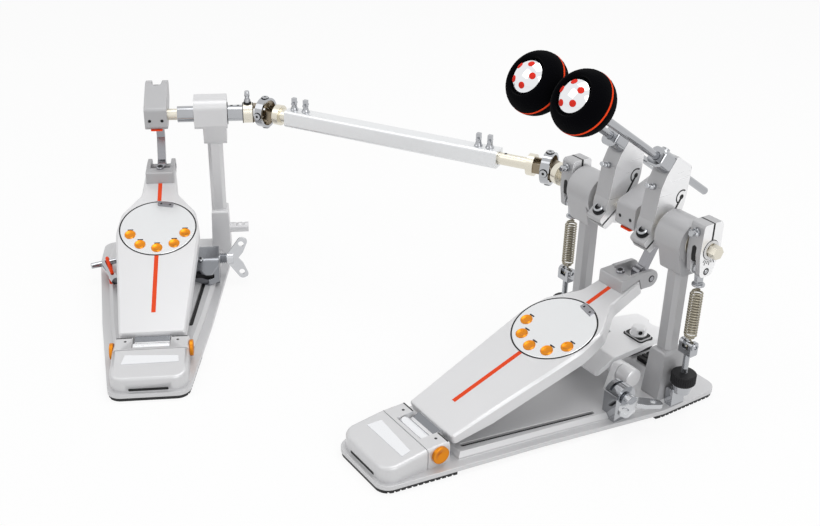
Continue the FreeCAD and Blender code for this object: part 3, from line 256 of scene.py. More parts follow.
def satin(name: str, grey: float, roughness: Pair, relief: float) -> Finish:
    """Finish of a satin silver casting."""
    colour = (grey, grey, grey + 0.01)
    return Finish("satin_silver_" + name, "cast_silver", colour, 0.35, roughness, Texture.CAST, relief)


def plated(name: str, grey: float, roughness: Pair, uneven: float) -> Finish:
    """Finish of a smooth plated piece."""
    return Finish(name, "chrome", (grey, grey + 0.01, grey + 0.03), 1.0, roughness, uneven=uneven)


def red(name: str, colour: Triple) -> Finish:
    """Finish of a red plastic piece."""
    return Finish(name, "orange_plastic", colour, 0.0, (0.5, 0.6), gloss=0.05)


# One satin casting finish in several greys, partly painted light: JAW is near white to lift the jaw, its
# bolt, the roller and the hoop clamp's block out of the shade they lie in, and BOARD and PLATE are lighter as
# painted light on the boards and the base plates. HEEL and COLUMN are lighter greys of the same finish.
CASTING = satin("casting", 0.46, (0.36, 0.46), 0.12)
HEEL = satin("heel", 0.65, (0.34, 0.42), 0.1)
COLUMN = satin("column", 0.69, (0.34, 0.42), 0.1)
PLATE = satin("plate", 0.63, (0.36, 0.46), 0.12)
JAW = satin("jaw", 0.88, (0.28, 0.36), 0.08)
BOARD = satin("board", 0.72, (0.30, 0.38), 0.08)
# Milled side faces of holders and rockers; their near-white grey is partly painted light, set for the faces
# that look along x towards the lamps and for those that another holder shades.
MILLED_AND_LIT = Finish("milled_face", "cast_silver", (0.93, 0.93, 0.94), 0.5, (0.25, 0.33), Texture.BRUSHED, 0.03)
CHROME = plated("bright_chrome", 0.47, (0.05, 0.10), 0.3)
CAP = plated("cap_chrome", 0.84, (0.03, 0.06), 0.1)
WING = plated("wing_chrome", 0.62, (0.12, 0.20), 0.35)
GREY_CHROME = plated("grey_chrome", 0.27, (0.12, 0.20), 0.3)
BARREL = Finish("hinge_chrome", "chrome", (0.88, 0.89, 0.91), 0.9, (0.12, 0.18), Texture.BRUSHED, 0.02)
DISC = Finish("polished_disc", "chrome", (0.79, 0.80, 0.81), 0.85, (0.14, 0.22), Texture.BRUSHED, 0.02)
STEEL = Finish("bright_steel", "chrome", (0.32, 0.32, 0.34), 1.0, (0.18, 0.28), uneven=0.2)
# The spring's wire is a darkened copy of the nickel finish: painted shade for the shade between its coils.
SHADED_SPRING = Finish("spring_steel", "nickel", (0.36, 0.33, 0.26), 0.8, (0.25, 0.35))
NICKEL = Finish("warm_nickel", "nickel", (0.76, 0.72, 0.62), 1.0, (0.20, 0.30), uneven=0.15)
BRONZE = Finish("joint_bronze", "nickel", (0.30, 0.25, 0.18), 1.0, (0.25, 0.35), uneven=0.3)
TUBE = Finish("satin_tube", "tube_aluminium", (0.80, 0.81, 0.82), 0.75, (0.26, 0.34), Texture.BRUSHED, 0.04)
RUBBER = Finish("sole_rubber", "black_rubber", (0.012, 0.012, 0.013), 0.0, (0.6, 0.75), Texture.MATTE, 0.2)
KNURL = Finish("black_knob", "black_plastic", (0.005, 0.005, 0.006), 0.0, (0.5, 0.6), Texture.MATTE, 0.1,
               gloss=0.3)
FELT = Finish("wool_felt", "black_felt", (0.0022, 0.0022, 0.0030), 0.0, (0.95, 1.0), Texture.FELT, 0.9,
              700.0, gloss=0.05)
ORANGE = Finish("orange_metal", "orange_anodised", (0.72, 0.25, 0.02), 1.0, (0.26, 0.34))
RED_CLIP = red("red_clip", (0.92, 0.066, 0.012))
DOT = red("red_dot", (0.74, 0.034, 0.021))
STRIPE = red("red_stripe", (0.80, 0.080, 0.025))
# Near black, both for black parts, marks and joint lines and as painted shade: dark fills in slits, slots,
# holes and sockets, and dark strips where shadows fall.
BLACK_AND_SHADE = Finish("dark_socket", "black_plastic", (0.010, 0.010, 0.011), 0.0, (0.5, 0.6), gloss=0.3)

# Finishes by node where the record's slot doesn't say enough, first those that both pedals have.
BOTH_PEDALS = {
    "disc": DISC, "footboard": BOARD, "heel_block": HEEL, "base_plate": PLATE, "link": STEEL,
    "joint_ring": CHROME,
}
NODE_FINISH = {
    f"{pedal}_{word}": finish for pedal in ("main", "slave") for word, finish in BOTH_PEDALS.items()
}
NODE_FINISH |= {
    "slave_post": COLUMN, "hoop_jaw": JAW, "hoop_wing": WING, "slave_wing": WING,
    "slave_clamp_block": GREY_CHROME,
}
SLOT_FINISH = {
    "cast_silver": CASTING, "chrome": CHROME, "nickel": NICKEL, "tube_aluminium": TUBE,
    "black_rubber": RUBBER, "black_plastic": KNURL, "black_felt": FELT, "orange_anodised": ORANGE,
    "orange_plastic": RED_CLIP,
}


def finish_of(node: str) -> Finish:
    """Finish of a CAD node.

    Args:
        node: the node's name.

    Returns:
        The finish that its surface shows.
    """
    if node in NODE_FINISH:
        return NODE_FINISH[node]
    slots = {row["node"]: row["material_slot"] for row in frame["record"]["subparts"]}
    return SLOT_FINISH[slots[node]]


def body_of_node(node: str) -> str:
    """Name of the body that a CAD node moves with."""
    bodies = frame["record"]["behaviour"]["bodies"]
    return next(body for body, nodes in bodies.items() if node in nodes)


def add_piece(name: str, mesh: bpy.types.Mesh, body: str, finish: Finish) -> bpy.types.Object:
    """Puts a finished mesh into the scene on a body.

    Args:
        name: name of the piece.
        mesh: its mesh, in the frame's own coordinates.
        body: the body that it rides.
        finish: its finish.

    Returns:
        The new object.
    """
    piece = bpy.data.objects.new(name, mesh)
    bpy.context.scene.collection.objects.link(piece)
    mesh.materials.clear()
    mesh.materials.append(finish.material())
    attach(piece, body)
    log.info("piece %s on %s", name, body)
    return piece


class Pedal(Enum):
    """The two pedals, each with its place: yaw in degrees and the axle's middle in millimetres."""

    MAIN = (0.0, 0.0, 0.0)
    SLAVE = (63.34, -519.0, -304.4)

    def matrix(self) -> Matrix:
        """Placement of the pedal's own coordinates, in metres."""
        yaw, x, y = self.value
        return Matrix.Translation((x * MM, y * MM, 0.0)) @ Matrix.Rotation(math.radians(yaw), 4, "Z")

    def spot(self, x: float, y: float, z: float) -> Vector:
        """A point of the pedal's own coordinates, in the frame's millimetres."""
        return self.matrix() @ (Vector((x, y, z)) * MM) / MM

    def node(self, what: str) -> str:
        """Name of one of the pedal's nodes, bodies or pieces."""
        return f"{self.name.lower()}_{what}"


class Side(Enum):
    """The two sides of the main pedal that have a beater, each with its sign along x."""

    RIGHT = 1.0
    LEFT = -1.0

    def node(self, what: str) -> str:
        """Name of one of the side's nodes, bodies or pieces."""
        return f"{self.name.lower()}_{what}"

    def drive(self) -> str:
        """Name of the body that turns the side's beater."""
        return "main_drive" if self is Side.RIGHT else "left_drive"


# All in millimetres: how far a dark inlay stands out, the axles' height, and the two universal joints with
# the shaft's direction between them.
PROUD = 0.12
AXLE_Z = 194.0
SLAVE_JOINT = Pedal.SLAVE.spot(133.0, 0.0, AXLE_Z)
MAIN_JOINT = Vector((-137.0, 0.0, AXLE_Z))
SHAFT = (MAIN_JOINT - SLAVE_JOINT).normalized()
# The slave's axle, from its middle towards the shaft's gimbal, and the link's fork pin in each pedal's
# coordinates.
SLAVE_AXLE = Pedal.SLAVE.spot(0.0, 0.0, AXLE_Z)
SLAVE_WAY = (SLAVE_JOINT - SLAVE_AXLE).normalized()
FORK = (0.0, 38.0, AXLE_Z + 18.0)
# Where the beaters and the springs lie along x, the beater rods' slope with the clamps' (y, z), and the
# hinges' (y, z).
BEATER_X = 32.0
SPRING_X = 93.0
ROD_SLOPE = math.radians(35.0)
ROD_WAY = Vector((0.0, -math.cos(ROD_SLOPE), math.sin(ROD_SLOPE)))
OVER_ROD = Vector((0.0, ROD_WAY.z, -ROD_WAY.y))
ROD_CLAMP = (-9.0, 265.0)
HINGE = (-269.0, 22.5)


@dataclass(frozen=True)
class Zone:
    """Part of a node that shows another finish: a stretch along a line, out to some distance from it.

    Attributes:
        finish: the finish of the zone.
        start: where the line starts, in millimetres.
        along: direction of the line.
        low: station where the zone starts.
        high: station where it ends.
        reach: farthest distance from the line.
        facing: direction that the zone's faces look along, if only those count.
    """

    finish: Finish
    start: Vector
    along: Vector
    low: float
    high: float
    reach: float = 1000.0
    facing: Vector | None = None

    def holds(self, spot: Vector, normal: Vector) -> bool:
        """Tells whether a face lies in the zone.

        Args:
            spot: middle of the face in millimetres.
            normal: the way that it looks.

        Returns:
            Whether it does.
        """
        way = spot - self.start
        station = way.dot(self.along)
        if self.facing is not None and abs(normal.dot(self.facing)) < 0.9:
            return False
        return self.low < station < self.high and (way - self.along * station).length < self.reach


# Nodes that show more than one finish; SIDES are faces that look along x, in the milled finish with its
# painted light.
SIDES = (Zone(MILLED_AND_LIT, Vector((0.0, 0.0, 0.0)), ACROSS, -200.0, 200.0, facing=ACROSS),)
ZONES = {
    "drive_tube": (
        Zone(NICKEL, SLAVE_JOINT, SHAFT, -12.0, 33.4), Zone(BRONZE, SLAVE_JOINT, SHAFT, -12.0, 15.8),
    ),
    "drive_rod": (Zone(BRONZE, MAIN_JOINT, SHAFT, -15.8, 12.0),),
    "slave_axle": (
        Zone(CHROME, SLAVE_AXLE, SLAVE_WAY, 25.0, 46.2), Zone(CHROME, SLAVE_AXLE, SLAVE_WAY, 86.0, 104.9),
        Zone(BRONZE, SLAVE_AXLE, SLAVE_WAY, 117.1, 145.0),
    ),
    "left_axle": (Zone(BRONZE, MAIN_JOINT, ACROSS, -12.0, 15.8),),
    "slave_joint_ring": (Zone(BRONZE, SLAVE_JOINT, SHAFT, -4.9, 4.9, 16.0),),
    "main_joint_ring": (Zone(BRONZE, MAIN_JOINT, SHAFT, -4.9, 4.9, 16.0),),
    "hoop_clamp_block": (Zone(JAW, Vector((0.0, -52.5, 0.0)), Vector((0.0, 1.0, 0.0)), 0.0, 60.0),),
    # The links' ends round the fork pin are painted near black: painted shade inside the fork's slot.
    "main_link": (Zone(BLACK_AND_SHADE, Pedal.MAIN.spot(*FORK), ACROSS, -20.0, 20.0, 7.5),),
    "slave_link": (Zone(BLACK_AND_SHADE, Pedal.SLAVE.spot(*FORK), SLAVE_WAY, -20.0, 20.0, 7.5),),
    "right_beater_holder": SIDES, "left_beater_holder": SIDES, "right_rocker": SIDES, "left_rocker": SIDES,
}


@dataclass
class Skin:
    """A CAD node dressed with rounded edges and its finish.

    Attributes:
        node: the CAD node.
        edge: radius of the rounded edges, in millimetres.
        weld: distance in metres under which points become one.
        flat: angle in degrees under which faces become one.
        sharp: angle in degrees from which an edge counts as sharp.
        fold_area: area of folded triangles that may show, in square metres.
        cap_start: start of the left hinge cap along x, and the hinge's y and z, in millimetres.
        cap_share: how far that cap is drawn in along x, y and z.
    """

    node: str
    edge: float = 0.6
    weld: float = 0.00001
    flat: float = 1.0
    sharp: float = 32.0
    fold_area: float = 0.1 * MM * MM
    cap_start: Triple = (-40.0, *HINGE)
    cap_share: Triple = (0.5, 0.6, 0.6)

    def build(self) -> bpy.types.Object:
        """Copies the node's mesh, rounds its edges and shows it in place of the node.

        Returns:
            The dressed piece.
        """
        mesh = frame["nodes"][self.node].data.copy()
        work = bmesh.new()
        work.from_mesh(mesh)
        bmesh.ops.remove_doubles(work, verts=work.verts, dist=self.weld)
        if self.edge > 0.0:
            bmesh.ops.dissolve_limit(work, angle_limit=math.radians(self.flat), verts=work.verts,
                                     edges=work.edges)
        for face in work.faces:
            face.smooth = True
        work.to_mesh(mesh)
        work.free()
        if self.node == "main_hinge_bolts":
            self.slim_cap(mesh)
        mesh.set_sharp_from_angle(angle=math.radians(self.sharp))
        piece = add_piece(self.node + "_skin", mesh, body_of_node(self.node), finish_of(self.node))
        self.dress(mesh)
        if self.edge > 0.0:
            self.round_off(piece)
        even = piece.modifiers.new("even", "WEIGHTED_NORMAL")
        even.weight = 80
        even.keep_sharp = True
        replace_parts(piece, self.node)
        return piece

    def slim_cap(self, mesh: bpy.types.Mesh) -> None:
        """Draws in the left cap of the hinge, which stays below the heel block's top.

        Args:
            mesh: the mesh of the hinge bolts.
        """
        start, share = Vector(self.cap_start) * MM, Vector(self.cap_share)
        for vert in mesh.vertices:
            if vert.co.x < start.x:
                vert.co = start + (vert.co - start) * share

    def round_off(self, piece: bpy.types.Object) -> None:
        """Rounds the edges of a piece, as far as that folds nothing.

        Args:
            piece: the piece.
        """
        bevel = piece.modifiers.new("edge", "BEVEL")
        bevel.segments = 2
        bevel.limit_method = "ANGLE"
        bevel.angle_limit = math.radians(self.sharp)
        for width in (self.edge, self.edge / 2):
            bevel.width = width * MM
            if not self.folded(piece):
                return
        piece.modifiers.remove(bevel)
        log.info("%s keeps its plain edges", self.node)

    def folded(self, piece: bpy.types.Object) -> bool:
        """Tells whether rounding has folded some of a piece's triangles over.

        Args:
            piece: the piece with its modifier.

        Returns:
            Whether triangles of a visible size lie against their own face.
        """
        shown = piece.evaluated_get(bpy.context.evaluated_depsgraph_get())
        mesh = shown.to_mesh()
        mesh.calc_loop_triangles()
        count = len(mesh.loop_triangles)
        corners = np.empty(count * 3, np.int32)
        owners = np.empty(count, np.int32)
        spots = np.empty(len(mesh.vertices) * 3, np.float32)
        normals = np.empty(len(mesh.polygons) * 3, np.float32)
        mesh.loop_triangles.foreach_get("vertices", corners)
        mesh.loop_triangles.foreach_get("polygon_index", owners)
        mesh.vertices.foreach_get("co", spots)
        mesh.polygons.foreach_get("normal", normals)
        first, second, third = spots.reshape(-1, 3)[corners.reshape(-1, 3)].swapaxes(0, 1)
        sides = np.cross(second - first, third - first)
        turned = np.einsum("ij,ij->i", sides, normals.reshape(-1, 3)[owners])
        shown.to_mesh_clear()
        return float(-turned[turned < 0.0].sum()) / 2 > self.fold_area

    def dress(self, mesh: bpy.types.Mesh) -> None:
        """Gives the stretches of the node that look different their own finish.

        Args:
            mesh: the mesh of the dressed piece.
        """
        for zone in ZONES.get(self.node, ()):
            index = len(mesh.materials)
            mesh.materials.append(zone.finish.material())
            for polygon in mesh.polygons:
                if zone.holds(polygon.center / MM, polygon.normal):
                    polygon.material_index = index


def circle(radius: float, steps: int) -> list[Pair]:
    """Points round a circle."""
    angles = [2 * math.pi * i / steps for i in range(steps)]
    return [(radius * math.cos(a), radius * math.sin(a)) for a in angles]


def clock(degrees: float) -> Vector:
    """Direction at an angle in the plane square to x."""
    a = math.radians(degrees)
    return Vector((0.0, math.cos(a), math.sin(a)))


def ribs(count: int, pitch: float, shape: Profile) -> list[Pair]:
    """Outline of a row of equal ribs."""
    return [(pitch * i + reach, radius) for i in range(count) for reach, radius in shape]


def rectangle(x0: float, x1: float, y0: float, y1: float, corner: float = 0.0) -> list[Pair]:
    """Corners of a rectangle, rounded by a corner radius.

    Args:
        x0: its left side.
        x1: its right side.
        y0: its lower side.
        y1: its upper side.
        corner: the corner radius.

    Returns:
        The points round it.
    """
    if corner <= 0.0:
        return [(x0, y0), (x1, y0), (x1, y1), (x0, y1)]
    middles = [(x1 - corner, y0 + corner, -90), (x1 - corner, y1 - corner, 0),
               (x0 + corner, y1 - corner, 90), (x0 + corner, y0 + corner, 180)]
    turns = [(x, y, math.radians(start + 15 * i)) for x, y, start in middles for i in range(7)]
    return [(x + corner * math.cos(a), y + corner * math.sin(a)) for x, y, a in turns]


@dataclass
class Form:
    """A piece in the making: a mesh in millimetres, drawn in the coordinates of one pedal.

    Attributes:
        name: name of the piece.
        body: the body that it rides.
        finish: its finish.
        pedal: the pedal whose coordinates it uses.
        work: the mesh in the making.
    """

    name: str
    body: str
    finish: Finish
    pedal: Pedal = Pedal.MAIN
    work: bmesh.types.BMesh = field(default_factory=bmesh.new)

    def loft(self, rings: list[list[Vector]], closed: bool = False) -> "Form":
        """Adds a form through rings of points that match one by one.

        Args:
            rings: the rings.
            closed: whether the last ring joins the first, or else both are filled.

        Returns:
            The piece in the making, as all methods that add to it do.
        """
        rows = [[self.work.verts.new(spot) for spot in ring] for ring in rings]
        for low, high in zip(rows, rows[1:] + rows[:1] if closed else rows[1:]):
            for i in range(len(low)):
                j = (i + 1) % len(low)
                self.work.faces.new((low[i], low[j], high[j], high[i]))
        if not closed:
            self.work.faces.new(list(reversed(rows[0])))
            self.work.faces.new(rows[-1])
        return self

    def lathe(self, start: Vector, along: Vector, profile: Profile, steps: int = 40) -> "Form":
        """Adds a turned form.

        Args:
            start: where the axis starts.
            along: direction of the axis.
            profile: pairs of distance along the axis and radius.
            steps: number of faces round the axis.

        Returns:
            The piece in the making.
        """
        turn = along.to_track_quat("Z", "Y").to_matrix()
        return self.loft([[start + turn @ Vector((x, y, reach)) for x, y in circle(radius, steps)]
                          for reach, radius in profile])

    def pin(self, start: Triple | Vector, along: Triple | Vector, radius: float, length: float,
            edge: float = 0.4, steps: int = 32) -> "Form":
        """Adds a round bar with broken edges.

        Args:
            start: middle of its first end.
            along: its direction.
            radius: its radius.
            length: its length.
            edge: size of its broken edges.
            steps: number of faces round it.

        Returns:
            The piece in the making.
        """
        profile = [(0.0, radius - edge), (edge, radius), (length - edge, radius), (length, radius - edge)]
        return self.lathe(Vector(start), Vector(along).normalized(), profile, steps)

    def slab(self, outline: Profile, low: float, high: float, place: Matrix = Matrix.Identity(4)) -> "Form":
        """Adds a flat plate.

        Args:
            outline: corners in the plate's plane.
            low: level of its lower face.
            high: level of its upper face.
            place: placement of the plate, in millimetres.

        Returns:
            The piece in the making.
        """
        return self.loft([[place @ Vector((x, y, level)) for x, y in outline] for level in (low, high)])

    def ring(self, middle: Vector, along: Vector, radii: Pair, levels: Pair, steps: int = 40) -> "Form":
        """Adds a flat ring.

        Args:
            middle: middle of the ring.
            along: direction of its axis.
            radii: its inner and outer radius.
            levels: levels of its lower and upper face along the axis.
            steps: number of faces round the axis.

        Returns:
            The piece in the making.
        """
        turn = along.to_track_quat("Z", "Y").to_matrix()
        corners = rectangle(*radii, *levels)
        return self.loft([[middle + turn @ Vector((r * x, r * y, z)) for r, z in corners]
                          for x, y in circle(1.0, steps)], closed=True)

    def bar(self, hub: Vector, way: Vector, ends: Pair, half: float, depth: float) -> "Form":
        """Adds a straight bar that points away from a hub, in the plane square to x.

        Args:
            hub: where it points away from.
            way: its direction.
            ends: distances of its two ends from the hub.
            half: half its width.
            depth: half its depth along x.

        Returns:
            The piece in the making.
        """
        side = Vector((0.0, -way.z, way.y))
        corners = [hub + way * along + side * across for along, across in rectangle(*ends, -half, half)]
        return self.loft([[spot + ACROSS * x for spot in corners] for x in (-depth, depth)])

    def tube(self, points: Sequence[Vector], radius: float, steps: int = 10) -> "Form":
        """Adds a round tube that follows a line of points.

        Args:
            points: points along its middle.
            radius: its radius.
            steps: number of faces round it.

        Returns:
            The piece in the making.
        """
        rings = []
        side = ACROSS
        for i, point in enumerate(points):
            way = (points[min(i + 1, len(points) - 1)] - points[max(i - 1, 0)]).normalized()
            side = (side - way * side.dot(way)).normalized()
            up = way.cross(side)
            rings.append([point + side * x + up * y for x, y in circle(radius, steps)])
        return self.loft(rings)

    def mesh(self, smooth_angle: float = 35.0) -> bpy.types.Mesh:
        """Turns the work into a finished mesh in metres.

        Args:
            smooth_angle: faces that meet at less than this angle shade as one.

        Returns:
            The finished mesh, in the frame's own coordinates.
        """
        bmesh.ops.scale(self.work, vec=(MM, MM, MM), verts=self.work.verts)
        bmesh.ops.recalc_face_normals(self.work, faces=self.work.faces)
        for face in self.work.faces:
            face.smooth = True
        mesh = bpy.data.meshes.new(self.name)
        self.work.to_mesh(mesh)
        self.work.free()
        mesh.set_sharp_from_angle(angle=math.radians(smooth_angle))
        mesh.transform(self.pedal.matrix())
        return mesh

    def done(self) -> bpy.types.Object:
        """Finishes the piece and puts it on its body."""
        return add_piece(self.name, self.mesh(), self.body, self.finish)


@dataclass
class BoardTrim:
    """Stripes, latch, studs, dark lines and painted shade on one footboard.

    Attributes:
        pedal: the pedal that it belongs to.
        rear: rear edge of the board's top, (y, z).
        tilt: slope of the board in degrees.
        stripes: start and end of each stripe along the board.
        stripe_half: half the width of a stripe.
        stripe_levels: lower and upper face of the stripes.
        disc: station of the disc's middle, and its radius.
        line: width, lower and upper face of the dark line round the disc.
        studs: number, ring radius, first angle and step of the studs.
        stud_cap: outline of a stud's cap.
        stud_shadow: half width, start, end and corner of the dark mark ahead of a stud, painted as the shadow
            of its recess rim.
        shade_levels: lower and upper face of those painted shadows.
        latch: x, distance from the disc's middle and turn in degrees of the latch.
        latch_size: half width, half depth and corner of the latch.
        latch_levels: lower and upper face of the latch.
        latch_holes: x of the latch's two holes.
        hole: y, z, radius and depth of such a hole.
        joint: half width and extent along the board of the grey strip painted as the shade behind the hinge
            barrel.
        barrel_shade_levels: lower and upper face of that painted shade.
    """

    pedal: Pedal
    rear: Pair = (-252.6, 33.0)
    tilt: float = 19.5
    stripes: tuple[Pair, ...] = ((30.3, 117.5), (209.5, 241.0))
    stripe_half: float = 2.4
    stripe_levels: Pair = (-0.3, 0.16)
    disc: Pair = (163.15, 44.0)
    line: Triple = (1.5, -1.0, 0.22)
    studs: tuple[int, float, float, float] = (5, 33.5, -162.0, 36.0)
    stud_cap: tuple[Pair, ...] = ((0.3, 6.5), (1.3, 6.5), (1.9, 5.9), (1.9, 5.1), (1.42, 4.2), (1.42, 0.6))
    stud_shadow: Quad = (3.4, 7.0, 8.6, 0.7)
    shade_levels: Pair = (0.2, 0.62)
    latch: Triple = (8.0, 39.5, -11.0)
    latch_size: Triple = (9.5, 3.5, 1.2)
    latch_levels: Pair = (0.3, 1.6)
    latch_holes: Pair = (-5.5, 5.5)
    # hole: y, z, radius and depth of such a hole's dark fill, which is painted shade.
    hole: Quad = (-0.6, 1.2, 1.3, 0.5)
    joint: Triple = (18.9, -8.5, -0.4)
    barrel_shade_levels: Pair = (-4.4, -3.88)

    def place(self) -> Matrix:
        """Placement of the board's own coordinates: x across, y along, z above its top."""
        return Matrix.Translation((0.0, *self.rear)) @ Matrix.Rotation(math.radians(self.tilt), 4, "X")

    def form(self, what: str, finish: Finish) -> Form:
        """Starts a piece that rides the board."""
        return Form(self.pedal.node(what), self.pedal.node("board"), finish, self.pedal)

    def stud_spots(self) -> list[Pair]:
        """Middles of the studs, across and along the board.

        Returns:
            The points.
        """
        count, ring, first, step = self.studs
        turns = [math.radians(first + step * i) for i in range(count)]
        return [(ring * math.cos(turn), self.disc[0] + ring * math.sin(turn)) for turn in turns]

    def flat(self, place: Matrix, up: Vector) -> None:
        """Makes the stripes, the latch, and painted shade in the latch's holes and ahead of the studs.

        Args:
            place: placement of the board.
            up: the way that its top looks.
        """
        stripes = self.form("stripes", STRIPE)
        for start, end in self.stripes:
            outline = rectangle(-self.stripe_half, self.stripe_half, start, end)
            stripes.slab(outline, *self.stripe_levels, place)
        stripes.done()
        x, ahead, turn = self.latch
        latch = (place @ Matrix.Translation((x, self.disc[0] + ahead, 0.0))
                 @ Matrix.Rotation(math.radians(turn), 4, "Z"))
        wide, deep, corner = self.latch_size
        outline = rectangle(-wide, wide, -deep, deep, corner)
        self.form("latch", STEEL).slab(outline, *self.latch_levels, latch).done()
        sockets = self.form("sockets", BLACK_AND_SHADE)
        y, z, radius, depth = self.hole
        for x in self.latch_holes:
            sockets.pin(latch @ Vector((x, y, z)), up, radius, depth, 0.1, 16)
        # Dark marks ahead of the studs: painted shadows of their recess rims.
        half, start, end, corner = self.stud_shadow
        for x, y in self.stud_spots():
            outline = rectangle(x - half, x + half, y + start, y + end, corner)
            sockets.slab(outline, *self.shade_levels, place)
        sockets.done()

    def build(self) -> None:
        """Makes the trim pieces."""
        place = self.place()
        up = place.to_3x3() @ UP
        self.flat(place, up)
        # A grey strip behind the hinge barrel: painted shade between the barrel and the board.
        half, rear, front = self.joint
        joint = self.form("hinge_joint", GREY_CHROME)
        joint.slab(rectangle(-half, half, rear, front), *self.barrel_shade_levels, place).done()
        caps = self.form("stud_caps", ORANGE)
        for x, y in self.stud_spots():
            caps.lathe(place @ Vector((x, y, 0.0)), up, self.stud_cap, 32)
        caps.done()
        middle, edge = self.disc
        wide, low, high = self.line
        line = self.form("disc_line", BLACK_AND_SHADE)
        line.ring(place @ Vector((0.0, middle, 0.0)), up, (edge, edge + wide), (low, high), 96).done()


@dataclass
class HeelTrim:
    """Plain plate, screw holes, slit, hinge sleeve and painted shadow of one heel block.

    Attributes:
        pedal: the pedal that it belongs to.
        body: the body that the heel block is part of.
        badge: (y, z) of the plate's middle.
        corners: corners of the plate.
        levels: lower and upper face of the plate.
        lean: slope of the cap's top in degrees.
        holes: half distance, y and z of the two small screw holes.
        hole: radius and depth of such a hole's dark fill, which is painted shade.
        slit: half length, y and z of the dark slit in the cap's front, filled dark as painted shade.
        slit_size: half height, corner, front and rear face of that slit.
        sleeve: radius and half length of the sleeve on the hinge barrel.
        shade: extent along x and y of the dark strips painted as the shadow under the board's rear edge.
        shade_depth: depth of those strips of painted shadow.
    """

    pedal: Pedal
    body: str
    badge: Pair = (-299.0, 28.9)
    corners: tuple[Pair, ...] = ((-29.0, -7.2), (31.0, -6.4), (30.0, 4.0), (-26.0, 7.8))
    levels: Pair = (-1.0, 0.55)
    lean: float = 7.1
    holes: Triple = (28.0, -264.6, 31.0)
    hole: Pair = (1.5, 1.0)
    slit: Triple = (20.6, -330.0, 11.5)
    slit_size: Quad = (1.5, 1.2, -PROUD, 0.6)
    sleeve: Pair = (7.25, 19.7)
    shade: Quad = (21.2, 38.0, -258.3, -256.8)
    shade_depth: float = 0.8

    def darks(self) -> None:
        """Makes the painted shade: dark fills in the slit and the screw holes, and the shadow under the
        board.
        """
        darks = Form(self.pedal.node("heel_darks"), self.body, BLACK_AND_SHADE, self.pedal)
        half, y, z = self.slit
        tall, corner, front, rear = self.slit_size
        face = (Matrix.Translation((0.0, y, 0.0)) @ Matrix.Rotation(math.radians(90), 4, "X")
                @ Matrix.Scale(-1, 4, UP))
        darks.slab(rectangle(-half, half, z - tall, z + tall, corner), front, rear, face)
        across, y, z = self.holes
        radius, depth = self.hole
        for x in (-across, across):
            darks.pin((x, y, z - depth), UP, radius, depth + PROUD, 0.05, 20)
        # Strips of painted shadow under the board's rear edge.
        near, far, rear, front = self.shade
        for x0, x1 in ((near, far), (-far, -near)):
            darks.slab(rectangle(x0, x1, rear, front), z - self.shade_depth, z + PROUD)
        darks.done()

    def build(self) -> None:
        """Makes the plate, the dark places and the sleeve."""
        place = Matrix.Translation((0.0, *self.badge)) @ Matrix.Rotation(math.radians(self.lean), 4, "X")
        plate = Form(self.pedal.node("badge"), self.body, BARREL, self.pedal)
        plate.slab(self.corners, *self.levels, place).done()
        self.darks()
        radius, half = self.sleeve
        sleeve = Form(self.pedal.node("hinge_sleeve"), self.pedal.node("board"), BARREL, self.pedal)
        sleeve.pin((-half, *HINGE), ACROSS, radius, 2 * half, 0.6, 48).done()


